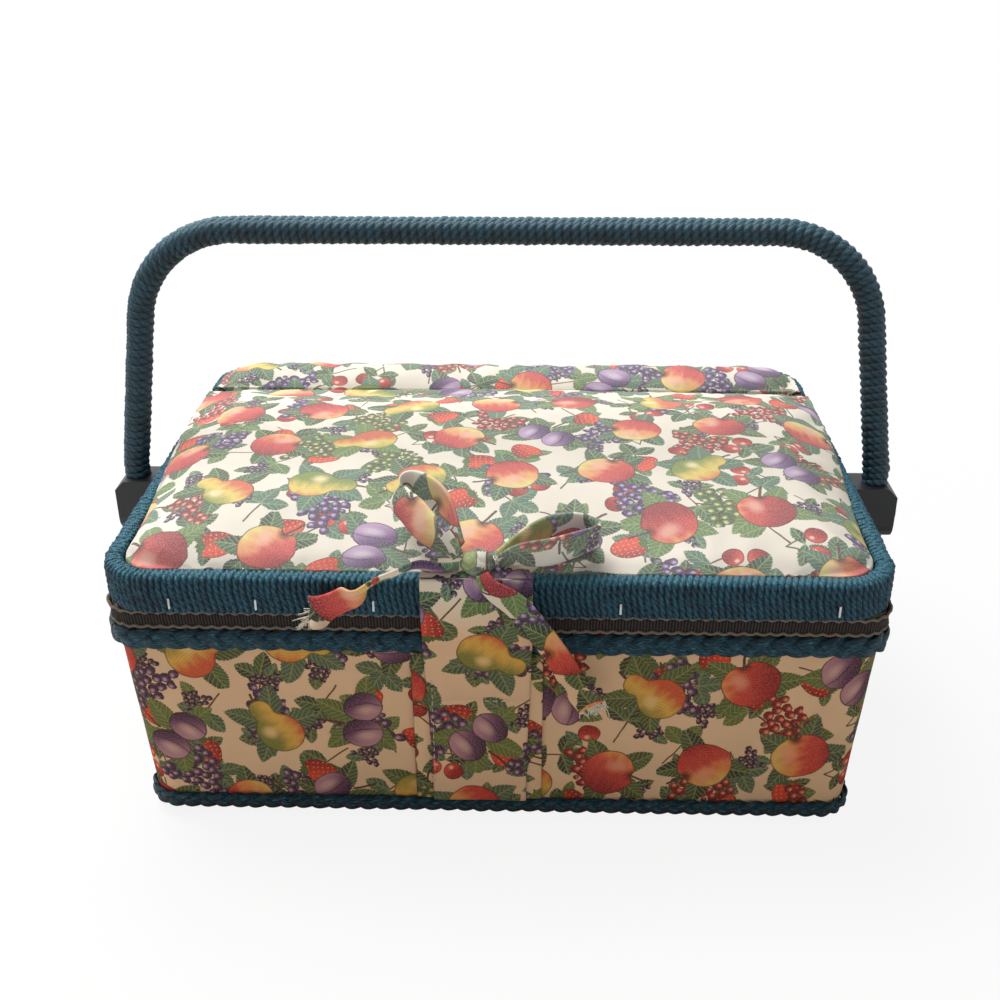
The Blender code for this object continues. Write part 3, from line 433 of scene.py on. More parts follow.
def bunch_layer(wire, x, y, size, seed, tilt, below):
    """Bunches of grapes and currants with a leaf or two."""
    x, y, first, second = place_in_cell(wire, x, y, size, seed, tilt, size * 0.08, 5.4)
    for angle, share, mirrored in ((0.62, 1.0, True), (2.9, 0.8, False)):
        inside, veins, off = leaf(x, y - 5.0, 11.5 * share, 3.5, angle, mirrored)
        below = paint(below, inside, leaf_colour(veins, off, second))
    stalk = stroke(x, y, (0.0, 8.0), (1.8, 12.6), 0.34)
    below = paint(below, stalk, rgb(84, 62, 42))
    pick = first.between(0.5, 0.52)
    pick_green = first.between(0.8, 0.82)

    def toned(purple, red, green):
        return pick_green.blend(pick.blend(purple, red), green)

    colours = (toned(rgb(206, 186, 228), rgb(250, 178, 160), rgb(222, 228, 168)),
               toned(rgb(118, 88, 158), rgb(206, 58, 68), rgb(140, 162, 92)),
               toned(rgb(54, 34, 88), rgb(116, 16, 36), rgb(66, 92, 50)))
    inside, skin = bunch(wire, x, y, 3.0, 20.0, 9.6, colours)
    return paint(below, inside, skin)


def fruit_layer(wire, x, y, size, seed, tilt, below):
    """Apples, pears and plums with a few leaves behind each."""
    x, y, first, second = place_in_cell(wire, x, y, size, seed, tilt, size * 0.08, 4.6)
    for angle, share, mirrored in ((0.95, 0.96, True), (-0.3, 1.0, False), (3.7, 0.92, False)):
        inside, veins, off = leaf(x, y, 16.5 * share, 3.7, angle, mirrored)
        below = paint(below, inside, leaf_colour(veins, off, first))
    stalk = stroke(x, y, (0.0, 6.0), (2.2, 12.8), 0.42)
    below = paint(below, stalk, rgb(78, 54, 38))
    kind = (second * 5).floor()
    is_plum = kind.maths("COMPARE", kind, 4.0, 0.1)
    is_pear = kind.maths("COMPARE", kind, 3.0, 0.1)
    is_apple = 1 - is_plum - is_pear
    for form, chosen in ((pear, is_pear), (plums, is_plum), (apple, is_apple)):
        inside, skin = form(wire, x, y, first)
        below = paint(below, shown_where(inside, chosen), skin)
    return below


def weave(wire, x, y):
    """The cotton's threads, as a height."""
    warp = (x * (FULL_TURN / 0.42)).sine()
    weft = (y * (FULL_TURN / 0.46)).sine()
    uneven = wire.with_parts(x, y).noise(1.4, 3.0)
    return (warp * weft) * 0.5 + uneven


PAINTED_SHADE_AT_TOP = (0.96, 0.88, 0.78, 1.0)       # the box cloth's painted shade near its top, where it nears the light


def scaled(colour, share):
    """A darker shade of a colour."""
    return tuple(c * share for c in colour[:3]) + (1.0,)


def printed_cotton(name, ground, haze, shade=None):
    """Cotton printed with fruit and leaves on its own ground colour. haze fades the print
    towards a pale cream: painted light, for the brightly lit lid. shade, on the box, is
    painted shade: it makes the cloth warmer and darker, and less so up by the strap's top."""
    made, shader, wire = start_finish(name)
    place = run_map(wire)
    x, y = place.part(0) * (1000 / PRINT_SCALE), place.part(1) * (1000 / PRINT_SCALE)
    wander = wire.with_parts(x, y).noise(0.09, 2.0, 1)
    x = x + (wander.part(0) - 0.5) * 2.2
    y = y + (wander.part(1) - 0.5) * 2.2
    patch = wire.with_parts(x, y).noise(0.05, 2.0)
    cloth = patch.between(0.3, 0.7).blend(ground, scaled(ground, 0.93))
    colour = leaves_layer(wire, x, y, 20.5, 1.0, 0.5, cloth, 9.5)
    colour = small_layer(wire, x, y, 18.5, 2.0, -0.35, colour)
    colour = bunch_layer(wire, x, y, 34.0, 3.0, 0.22, colour)
    colour = fruit_layer(wire, x, y, 29.0, 4.0, -0.12, colour)
    grain = wire.with_parts(x, y).noise(2.2, 3.0)
    # Pale fibres fleck the print; haze, on the lid, is painted light that pales it all.
    colour = (haze + grain.between(0.35, 0.75) * 0.2).blend(colour, rgb(244, 236, 226))
    # Painted shade on the box: warmer and darker low down, paler up by the strap's top.
    if shade:
        height = wire.node("ShaderNodeTexCoord", {}, {}, 3).part(2)
        tint = height.between(0.086, 0.112).blend((*shade, 1.0), PAINTED_SHADE_AT_TOP)
        colour = wire.node("ShaderNodeMix", {"data_type": "RGBA", "blend_type": "MULTIPLY"},
                           {0: 1.0, 6: colour, 7: tint}, 2)
    height = weave(wire, place.part(0) * 1000, place.part(1) * 1000)
    connect(wire, shader, Base_Color=colour, Roughness=0.82 + grain * 0.12,
            Specular_IOR_Level=0.2, Normal=bump(wire, height, 0.00014, 0.6))
    return made


def cord_finish(name, dark, plain, bright, turn_pitch, twist, shine):
    """Twisted two-ply raffia cord, with painted shade deep between its turns and between
    its plies, and painted highlights on the crowns of its turns and where it faces up.
    turn_pitch and twist are in millimetres."""
    made, shader, wire = start_finish(name)
    place = run_map(wire)
    along, across = place.part(0) * 1000, place.part(1) * 1000
    turn = (along * (1 / turn_pitch)) % 1.0
    crown = (turn * math.pi).sine()
    strand = abs((turn * math.pi + across * (math.pi / twist)).sine())
    fibre = wire.with_parts(along * 2.4 + across * 0.9, across * 1.1).noise(2.2, 4.0)
    mottle = wire.with_parts(along, across).noise(0.12, 3.0)
    # Painted shade: darker between the turns (crown) and between the plies (strand); fibre and
    # mottle are the raffia's own tone.
    tone = crown * 0.3 + strand * 0.5 + (fibre - 0.5) * 1.0 + (mottle - 0.5) * 0.7
    colour = tone.between(0.15, 0.85).blend(dark, plain)
    # Painted highlights: pale fibres on the crowns of the turns, and on faces that look up.
    upper = wire.node("ShaderNodeNewGeometry", {}, {}, 1).part(2).between(0.1, 0.9)
    light = fibre.between(0.5, 0.72) * crown * strand * mottle.between(0.3, 0.6)
    light = light.most(fibre.between(0.42, 0.66) * upper * 0.8)
    colour = light.blend(colour, bright)
    height = strand * 0.7 + fibre * 0.5
    connect(wire, shader, Base_Color=colour, Roughness=0.5, Specular_IOR_Level=shine,
            Normal=bump(wire, height, 0.0004, 0.9))
    return made


def fibre_finish(name, dark, plain, bright, width):
    """Loose raffia fibres laid along a braid's strands, with painted shade towards each
    strand's edges and back, where it goes under, and painted highlights on its outer face.
    """
    made, shader, wire = start_finish(name)
    place = run_map(wire)
    along, across = place.part(0) * 1000, place.part(1) * 1000
    # facing is 1 on a strand's outer face and 0 towards its edges: the mask of the painted shade
    # and painted highlights.
    facing = (across * (2 / width)).cosine().between(-0.1, 0.9)
    strands = wire.with_parts(along * 0.3, across * 2.4).noise(1.3, 4.0)
    slow = wire.with_parts(along, across).noise(0.3, 2.0)
    colour = (strands.between(0.3, 0.66) * facing).blend(dark, plain)
    colour = (strands.between(0.5, 0.7) * slow.between(0.3, 0.55) * facing).blend(colour, bright)
    lines = (across * (FULL_TURN / 0.7)).sine() * 0.3
    connect(wire, shader, Base_Color=colour, Roughness=0.5, Specular_IOR_Level=0.35,
            Normal=bump(wire, strands + lines, 0.0007, 1.0))
    return made


def plain_cloth(name, colour, thread):
    """A plain woven cloth read from where the piece lies."""
    made, shader, wire = start_finish(name)
    place = wire.node("ShaderNodeTexCoord", {}, {}, 3)
    fine = place.noise(1 / thread, 3.0)
    broad = place.noise(40.0, 3.0)
    dark = scaled(colour, 0.865)
    tint = (fine * 0.75 + broad * 0.25).between(0.3, 0.7).blend(dark, colour)
    connect(wire, shader, Base_Color=tint, Roughness=0.8 + fine * 0.15,
            Sheen_Weight=0.1, Specular_IOR_Level=0.2,
            Normal=bump(wire, fine, thread / 4, 0.5))
    return made


def ribbed_cloth(name, colour, dark, pitch):
    """A corded tape: fine ribs across it, read from its map, with painted shade in the
    hollows between the ribs.
    """
    made, shader, wire = start_finish(name)
    place = run_map(wire)
    rib = (place.part(0) * (FULL_TURN / pitch)).sine()
    fine = (place * 1000).noise(1.2, 3.0)
    # Painted shade: darker in the hollows between the ribs; fine is the tape's own uneven tone.
    tint = (rib * 0.5 + fine).between(0.1, 0.9).blend(dark, colour)
    connect(wire, shader, Base_Color=tint, Roughness=0.85, Specular_IOR_Level=0.2,
            Normal=bump(wire, rib + fine, 0.0002, 0.8))
    return made


def moulded_plastic(name, colour, roughness):
    """Plastic with a fine grain, paler in broad soft patches."""
    made, shader, wire = start_finish(name)
    place = wire.node("ShaderNodeTexCoord", {}, {}, 3)
    fine, broad = place.noise(1400.0, 2.0), place.noise(70.0, 3.0)
    pale = tuple(min(1.0, c * 1.35 + 0.004) for c in colour[:3]) + (1.0,)
    connect(wire, shader, Base_Color=(broad.between(0.3, 0.9) * 0.5).blend(colour, pale),
            Roughness=roughness + broad * 0.18,
            Normal=bump(wire, fine, 0.00005, 0.35))
    return made


def board_finish(name, colour):
    """Board or cane: fibres and a few dark flecks."""
    made, shader, wire = start_finish(name)
    place = wire.node("ShaderNodeTexCoord", {}, {}, 3)
    fibres, flecks = place.noise(260.0, 5.0), place.noise(900.0, 2.0)
    tint = fibres.between(0.3, 0.7).blend(scaled(colour, 0.72), colour)
    tint = (flecks.between(0.66, 0.74) * 0.5).blend(tint, scaled(colour, 0.4))
    connect(wire, shader, Base_Color=tint, Roughness=0.86,
            Normal=bump(wire, fibres, 0.0001, 0.5))
    return made


def steel_finish(name):
    """Bright metal, a little smeared."""
    made, shader, wire = start_finish(name)
    place = wire.node("ShaderNodeTexCoord", {}, {}, 3)
    smear = place.noise(500.0, 3.0)
    tint = smear.between(0.3, 0.7).blend((0.42, 0.42, 0.43, 1), (0.62, 0.62, 0.64, 1))
    connect(wire, shader, Base_Color=tint, Metallic=1.0, Roughness=0.26 + smear * 0.2)
    return made


# ---------------------------------------------------------------- making pieces

def add_piece(name, points, faces, finish, run=None):
    """A mesh object at the origin. run gives each face corner its place on the cloth."""
    mesh = bpy.data.meshes.new(name)
    mesh.from_pydata(np.asarray(points).reshape(-1, 3).tolist(), [], [list(f) for f in faces])
    if run is not None:
        layer = mesh.uv_layers.new(name="run")
        layer.data.foreach_set("uv", np.asarray(run, np.float32).reshape(-1))
    mesh.validate()
    mesh.materials.append(finish)
    mesh.shade_smooth()
    made = bpy.data.objects.new(name, mesh)
    bpy.context.scene.collection.objects.link(made)
    return made


def skin(name, rings, along, across, finish, closed=False):
    """A tube of rings of points, each ring going round the piece, with its map in metres.
    along has a length for each ring, or one for each point and the ring's end; across has
    one for each point and the ring's end. An open tube gets a cap at each end."""
    steps, count = rings.shape[:2]
    spans = steps if closed else steps - 1
    if along.ndim == 1:
        if closed:
            along = np.append(along, 2 * along[-1] - along[-2])
        along = np.repeat(along[:, None], count + 1, axis=1)
    i = np.arange(spans)[:, None]
    k = np.arange(count)[None, :]
    after, beside = (i + 1) % steps, (k + 1) % count
    quads = np.stack([i * count + k, i * count + beside, after * count + beside,
                      after * count + k], axis=-1).reshape(-1, 4)
    if across.ndim == 1:
        across = np.repeat(across[None, :], len(along), axis=0)
    low, high = slice(0, spans), slice(1, spans + 1)
    corners = [(along[a, b], across[a, b]) for a, b in
               ((low, slice(-1)), (low, slice(1, None)), (high, slice(1, None)), (high, slice(-1)))]
    run = np.stack([np.stack(corner, -1) for corner in corners], axis=2).reshape(-1, 2)
    faces = quads.tolist()
    if not closed:
        faces.append(list(range(count))[::-1])
        faces.append([(steps - 1) * count + n for n in range(count)])
        run = np.concatenate([run, np.stack([along[0, :-1], across[0, :-1]], -1)[::-1],
                              np.stack([along[-1, :-1], across[-1, :-1]], -1)])
    return face_outwards(add_piece(name, rings, faces, finish, run))


def select_only(piece):
    bpy.ops.object.select_all(action="DESELECT")
    piece.select_set(True)
    bpy.context.view_layer.objects.active = piece


def face_outwards(piece):
    """Turns the faces of a closed piece outwards."""
    select_only(piece)
    bpy.ops.object.mode_set(mode="EDIT")
    bpy.ops.mesh.select_all(action="SELECT")
    bpy.ops.mesh.normals_make_consistent(inside=False)
    bpy.ops.object.mode_set(mode="OBJECT")
    piece.select_set(False)
    return piece


def apply_all(piece):
    """Applies the piece's modifiers."""
    select_only(piece)
    for modifier in list(piece.modifiers):
        bpy.ops.object.modifier_apply(modifier=modifier.name)
    piece.select_set(False)


def settle(piece, body, replaced=None):
    """Puts a piece on its body, in place of a solid where it has one."""
    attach(piece, body)
    if replaced:
        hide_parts(replaced)


def points_of(mesh):
    """The mesh's points, one row each."""
    points = np.empty(len(mesh.vertices) * 3, np.float32)
    mesh.vertices.foreach_get("co", points)
    return points.reshape(-1, 3)


def move_points(mesh, points):
    mesh.vertices.foreach_set("co", points.astype(np.float32).reshape(-1))


def lay_map(mesh, place):
    """Sets the map "run" from each point's place on the cloth."""
    layer = mesh.uv_layers.new(name="run") if "run" not in mesh.uv_layers else mesh.uv_layers["run"]
    corners = np.empty(len(mesh.loops), np.int32)
    mesh.loops.foreach_get("vertex_index", corners)
    layer.data.foreach_set("uv", place[corners].astype(np.float32).reshape(-1))


def corner_arc(middle, radius, start, end, steps=24):
    """Points of an arc from one angle to another in degrees, and their outward directions."""
    angles = np.radians(np.linspace(start, end, steps))
    out = np.stack([np.cos(angles), np.sin(angles)], -1)
    return np.asarray(middle) + radius * out, out


def length_so_far(line):
    """The length along a line of points, at each point."""
    return np.concatenate([[0], np.cumsum(np.linalg.norm(np.diff(line, axis=0), axis=1))])


def even_steps(points, outs, count, closed):
    """The same line in even steps: points, outward directions and the length so far."""
    if closed:
        points, outs = np.vstack([points, points[:1]]), np.vstack([outs, outs[:1]])
    so_far = length_so_far(points)
    wanted = np.linspace(0, so_far[-1], count, endpoint=not closed)
    place = np.stack([np.interp(wanted, so_far, points[:, n]) for n in range(2)], -1)
    out = np.stack([np.interp(wanted, so_far, outs[:, n]) for n in range(2)], -1)
    out /= np.linalg.norm(out, axis=1, keepdims=True)
    return place, out, wanted


def joined(parts):
    """One line of points and outward directions from several."""
    return np.vstack([points for points, _ in parts]), np.vstack([outs for _, outs in parts])


def round_box_line(half, front, back, corner, count):
    """Round a box from the middle of its back, by its left side."""
    parts = [(np.array([[0, back]]), np.array([[0, 1.0]]))]
    side = half - corner
    for x, y, start in ((-side, back - corner, 90), (-side, front + corner, 180),
                        (side, front + corner, 270), (side, back - corner, 0)):
        parts.append(corner_arc((x, y), corner, start, start + 90))
    return even_steps(*joined(parts), count, True)


def round_section(thick, tall, edge, count):
    """A rounded upright oblong in (out, up) from its outer middle, going up and over."""
    parts = [(np.array([[thick / 2, 0]]), np.array([[1.0, 0]]))]
    side, top = thick / 2 - edge, tall / 2 - edge
    for x, y, start in ((side, top, 0), (-side, top, 90), (-side, -top, 180), (side, -top, 270)):
        parts.append(corner_arc((x, y), edge, start, start + 90, 8))
    return even_steps(*joined(parts), count, True)


def hump(turns):
    """The round back of a cord that lies beside its neighbours, 0 to 1."""
    part = 2 * (turns % 1.0) - 1
    return np.sqrt(np.maximum(1 - part * part, 0.0))


def lots(seed, count):
    """Chance numbers from -1 to 1."""
    return np.random.default_rng(seed).uniform(-1.0, 1.0, count)


def rolling(seed, count, spread):
    """Smooth chance along a line, about -1 to 1."""
    raw = lots(seed, count + 6 * spread)
    kernel = np.hanning(2 * spread + 1)
    smooth = np.convolve(raw, kernel / kernel.sum(), "same")[3 * spread:3 * spread + count]
    return smooth / (np.abs(smooth).max() + 1e-9)


# ---------------------------------------------------------------- sizes read from the frame

lid_low, lid_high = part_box("lid_rim_cord")
deck_low, deck_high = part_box("deck_rim_cord")
cover_low, cover_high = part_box("wall_cover")
braid_low, braid_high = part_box("top_braid")
base_low, base_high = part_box("base_braid")
gimp_low, gimp_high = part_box("gimp_tape")
sleeve_low, sleeve_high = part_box("handle_sleeve_right")
knot_low, knot_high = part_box("bow_knot")
handle_low, handle_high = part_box("handle_cord")
pad_low, pad_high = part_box("lid_pad")
rear_low, rear_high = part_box("deck_pad")

RIM_WIDE = 7 * MM
LID_CORNER = 20 * MM            # the rims' corner radius, seen from above
BOX_TAPER = 5.1 * MM            # how far each wall leans in at its foot
BOX_CORNER = 11 * MM
GLUE = 0.3 * MM                 # what lies on the box's cover starts this far outside it
RIM_TURN = 2.25 * MM            # one turn of the rims' cord, along the rim
RIM_PLY = 3.0 * MM              # one twist of its two plies, along the cord
HANDLE_TURN = 3.3 * MM
HANDLE_PLY = 3.4 * MM
HANDLE_RADIUS = 5.8 * MM
HANDLE_CORNER = 41 * MM
HANDLE_DRAW_IN = 10.5 * MM      # each leg, from its sleeve to its corner
PAD_CORNER = 12.8 * MM          # the corner radius of the lid's and the rear band's covers
LAP = 0.6 * MM                  # a cover laps this far over the rim's inner edge
STRAP_THICK = 1.1 * MM
STRAP_MIDDLE_OFF = 0.2 * MM     # the strap lies this far left of its solid's middle
STRAP_PRINT = (0.31, 0.02)      # where the strap and the panel lie on the print
PANEL_PRINT = (0.52, 0.11)
THREAD_RADIUS = 0.16 * MM
HINGE_Y = (lid_high.y + rear_low.y) / 2


def wall_lean(height):
    """How far the wall's outside has leant in at this height."""
    return BOX_TAPER * (cover_high.z - height) / (cover_high.z - cover_low.z)


def box_line(height, outwards, count):
    """Round the leaning box at a height, this far outside its cover."""
    grow = outwards - wall_lean(height)
    return round_box_line(cover_high.x + grow, cover_low.y - grow, cover_high.y + grow,
                          BOX_CORNER + outwards, count)


def box_front(height):
    return cover_low.y + wall_lean(height)


def level_ring(height, outwards, count):
    """Points round the box at one height."""
    return np.column_stack([box_line(height, outwards, count)[0], np.full(count, height)])


# ---------------------------------------------------------------- box cloth and trims

def make_box_cloth(finish):
    """The printed cotton glued round the box, drawn tight over its corners."""
    count, rows, thick = 560, 26, 0.8 * MM
    heights = np.linspace(cover_low.z, cover_high.z, rows)
    outer = []
    for height in heights:
        place, out, so_far = box_line(height, -0.0001, count)
        ripple = 0.00016 * np.sin(so_far * 95 + height * 160) * np.sin(so_far * 31)
        outer.append(np.column_stack([place - out * (0.00012 + ripple[:, None] * 0.7),
                                      np.full(count, height)]))
    inner = [level_ring(height, -thick, count) for height in (heights[-1], heights[0])]
    rings = np.stack(outer + inner, axis=1)
    across = np.concatenate([heights, [heights[-1] + thick, heights[0] - thick], [heights[0]]])
    made = skin("box_cloth", rings, so_far, across, finish, closed=True)
    settle(made, "basket", "wall_cover")


def make_braid(name, replaced, low, high, thick, width, loops, finish):
    """A flat braid of three strands that pass over and under one another."""
    count, sides = 1200, 14
    middle = (low + high) / 2
    place, out, so_far = box_line(middle, thick * 0.44, count)
    total = so_far[-1] + so_far[1]
    swing, depth, flatness = (high - low) / 2 - width / 2, thick * 0.28, 0.32
    angles = np.linspace(0, FULL_TURN, sides, endpoint=False)
    rings, faces, run, start = [], [], [], 0
    for strand in range(3):
        phase = FULL_TURN * (so_far / total * loops + strand / 3)
        up = swing * np.sin(phase) * (1 + 0.1 * rolling(10 + strand, count, 9))
        near = depth * np.sin(2 * phase)
        lean = np.arctan(swing * np.cos(phase) * FULL_TURN * loops / total)
        wide = width / 2 * (1 + 0.1 * rolling(20 + strand, count, 5))
        fray = 1 + 0.07 * np.sin(angles * 5)[None, :]
        a = np.cos(angles)[None, :] * (wide * flatness)[:, None] * fray
        b = np.sin(angles)[None, :] * wide[:, None] * fray
        along = np.stack([-out[:, 1], out[:, 0]], -1)
        back = -b * np.sin(lean)[:, None]
        points = np.empty((count, sides, 3))
        points[..., :2] = (place[:, None, :] + out[:, None, :] * (near[:, None] + a)[..., None]
                           + along[:, None, :] * back[..., None])
        points[..., 2] = middle + up[:, None] + b * np.cos(lean)[:, None]
        rings.append(points.reshape(-1, 3))
        i = np.arange(count)[:, None]
        k = np.arange(sides)[None, :]
        j, m = (i + 1) % count, (k + 1) % sides
        quads = np.stack([i * sides + k, i * sides + m, j * sides + m, j * sides + k], -1)
        faces.append(quads.reshape(-1, 4) + start)
        start += count * sides
        u = np.broadcast_to(so_far[:, None] + strand, (count, sides))
        v = np.broadcast_to(angles[None, :] * width / 2, (count, sides))
        du, dv = so_far[1], angles[1] * width / 2
        run.append(np.stack([np.stack([u, v], -1), np.stack([u, v + dv], -1),
                             np.stack([u + du, v + dv], -1), np.stack([u + du, v], -1)],
                            axis=2).reshape(-1, 2))
    made = add_piece(name, np.concatenate(rings), np.concatenate(faces).tolist(), finish,
                     np.concatenate(run))
    face_outwards(made)
    settle(made, "basket", replaced)


def make_gimp(finish, edging):
    """The thin tape under the lid, with a fine cord looped along both edges."""
    count, thick = 640, 0.7 * MM
    low, high = gimp_low.z + 0.6 * MM, gimp_high.z - 0.6 * MM
    heights = np.linspace(low, high, 4)
    rows = [level_ring(height, GLUE + thick, count) for height in heights]
    rows += [level_ring(height, GLUE, count) for height in heights[::-1]]
    _, _, so_far = box_line(high, GLUE + thick, count)
    across = np.arange(len(rows) + 1) * (heights[1] - heights[0])
    tape = skin("gimp_tape_cloth", np.stack(rows, axis=1), so_far, across, finish, closed=True)
    settle(tape, "basket", "gimp_tape")
    waves = 204
    for name, height, way in (("gimp_edge_upper", high, 1), ("gimp_edge_lower", low, -1)):
        place, _, so_far = box_line(height, GLUE + 0.8 * MM, waves * 8)
        lift = way * 0.0008 * np.abs(np.sin(np.pi * waves * so_far / (so_far[-1] + so_far[1])))
        line = np.column_stack([place, height - way * 0.0006 + lift])
        settle(round_cord(name, line, 0.58 * MM, 6, edging), "basket")


def round_cord(name, line, radius, sides, finish):
    """A plain round cord along a line of points that closes on itself."""
    ahead = np.roll(line, -1, axis=0) - np.roll(line, 1, axis=0)
    ahead /= np.linalg.norm(ahead, axis=1, keepdims=True)
    up = np.tile([0.0, 0.0, 1.0], (len(line), 1))
    side = np.cross(ahead, up)
    side /= np.maximum(np.linalg.norm(side, axis=1, keepdims=True), 1e-9)
    up = np.cross(side, ahead)
    angles = np.linspace(0, FULL_TURN, sides, endpoint=False)
    rings = line[:, None, :] + radius * (np.cos(angles)[None, :, None] * side[:, None, :]
                                         + np.sin(angles)[None, :, None] * up[:, None, :])
    across = np.linspace(0, FULL_TURN * radius, sides + 1)
    return skin(name, rings, length_so_far(line), across, finish, closed=True)


# ---------------------------------------------------------------- wound cord

def make_wound_rim(name, replaced, body, line, outs, low, high, finish, seed):
    """Cord wound closely round a rim: every turn stands out by its own round back, and
    its two plies cross it aslant."""
    total = length_so_far(line)[-1]
    turns = round(total / RIM_TURN)
    place, out, so_far = even_steps(line, outs, turns * 9 + 1, False)
    section, section_out, round_far = round_section(RIM_WIDE, high - low, 2.8 * MM, 38)
    girth = round_far[-1] + round_far[1]
    number = so_far / total * turns
    slow = rolling(seed + 1, len(so_far), 60)
    wobble = np.sin(round_far / girth * FULL_TURN * 2 + 0.6)
    phase = number[:, None] + 0.3 * wobble[None, :] + 0.15 * slow[:, None]
    turn = np.clip(np.floor(phase).astype(int) + 1, 0, turns + 3)
    uneven = lots(seed, turns + 4)[turn]
    bulge = hump(phase)
    around = round_far[None, :] + (RIM_PLY * lots(seed + 2, turns + 4))[turn]
    strand = np.abs(np.sin(np.pi * (phase + around / RIM_PLY)))
    height = (-0.0012 + 0.0009 * bulge + 0.00024 * uneven
              + 0.00055 * strand * (0.3 + 0.7 * bulge))
    points = section[None, :, :] + section_out[None, :, :] * height[..., None]
    centre = place - out * (RIM_WIDE / 2)
    rings = np.empty((len(place), len(section), 3))
    rings[..., :2] = centre[:, None, :] + out[:, None, :] * points[..., :1]
    rings[..., 2] = (low + high) / 2 + points[..., 1]
    along = np.concatenate([phase, phase[:, :1]], axis=1) * RIM_TURN
    across = np.concatenate([around, around[:, :1] + girth], axis=1)
    settle(skin(name, rings, along, across, finish), body, replaced)


def lid_rim_line():
    """Round the lid's rim: down the left side from the hinge, along the front and back."""
    half, front, end = lid_high.x, lid_low.y, lid_high.y
    return joined([(np.array([[-half, end]]), np.array([[-1.0, 0]])),
                   corner_arc((LID_CORNER - half, front + LID_CORNER), LID_CORNER, 180, 270),
                   corner_arc((half - LID_CORNER, front + LID_CORNER), LID_CORNER, 270, 360),
                   (np.array([[half, end]]), np.array([[1.0, 0]]))])


def deck_rim_line():
    """Round the fixed rear band: up the right side from the hinge and along the back."""
    half, back, start = deck_high.x, deck_high.y, deck_low.y
    return joined([(np.array([[half, start]]), np.array([[1.0, 0]])),
                   corner_arc((half - LID_CORNER, back - LID_CORNER), LID_CORNER, 0, 90),
                   corner_arc((LID_CORNER - half, back - LID_CORNER), LID_CORNER, 90, 180),
                   (np.array([[-half, start]]), np.array([[-1.0, 0]]))])


def handle_line():
    """The handle's middle line in the plane of its pivots, (x, z): upright out of each
    sleeve, then leaning in to a round corner."""
    foot = handle_high.x - HANDLE_RADIUS
    shoulder = foot - HANDLE_DRAW_IN
    level = handle_high.z - HANDLE_RADIUS - HANDLE_CORNER
    start, bend = sleeve_high.z - 9 * MM, sleeve_high.z + HANDLE_RADIUS
    lean = np.arctan2(HANDLE_DRAW_IN, level - sleeve_high.z)
    middle = shoulder - HANDLE_CORNER * np.cos(lean)
    right, _ = corner_arc((middle, level), HANDLE_CORNER, np.degrees(lean), 90)
    left, _ = corner_arc((-middle, level), HANDLE_CORNER, 90, 180 - np.degrees(lean))
    return np.vstack([[(foot, start), (foot, bend)], right, left, [(-foot, bend), (-foot, start)]])


def make_wound_handle(finish):
    """The handle's cord, wound slantwise over the cane, a little lumpy."""
    points = handle_line()
    total = length_so_far(points)[-1]
    turns = round(total / HANDLE_TURN)
    place, _, so_far = even_steps(points, points, turns * 9 + 1, False)
    tangent = np.gradient(place, axis=0)
    tangent /= np.linalg.norm(tangent, axis=1, keepdims=True)
    out = np.stack([tangent[:, 1], -tangent[:, 0]], -1)
    sides = 28
    angles = np.linspace(0, FULL_TURN, sides, endpoint=False)
    number = so_far / total * turns
    slow = rolling(41, len(so_far), 50)[:, None]
    phase = number[:, None] + 0.62 * np.sin(angles)[None, :] + 0.12 * slow
    bulge = hump(phase)
    uneven = lots(42, turns + 4)[np.clip(np.floor(phase).astype(int) + 1, 0, turns + 3)]
    lumps = rolling(43, len(so_far), 26)[:, None] * 0.00014
    girth = FULL_TURN * HANDLE_RADIUS
    strand = np.abs(np.sin(np.pi * (phase + angles[None, :] / FULL_TURN * girth / HANDLE_PLY)))
    radius = (HANDLE_RADIUS - 0.00136 + 0.0008 * bulge + 0.00015 * uneven + lumps
              + 0.0003 * strand * bulge)
    rings = np.empty((len(place), sides, 3))
    rings[..., 0] = place[:, 0, None] + out[:, 0, None] * np.cos(angles) * radius
    rings[..., 1] = (handle_low.y + handle_high.y) / 2 + np.sin(angles) * radius
    rings[..., 2] = place[:, 1, None] + out[:, 1, None] * np.cos(angles) * radius
    along = np.concatenate([phase, phase[:, :1]], axis=1) * HANDLE_TURN
    across = np.linspace(0, girth, sides + 1)
    settle(skin("handle_winding", rings, along, across, finish), "handle",
           "handle_cord")


# ---------------------------------------------------------------- padded covers

def rise(distance, crown, run, puff, puff_run):
    """Height of a stuffed cover this far in from its edge."""
    part = np.clip(distance / run, 0, 1)
    slow = (crown - puff) * (1 - (1 - part) ** 2.2)
    return slow + puff * (1 - np.exp(-np.maximum(distance, 0) / puff_run))


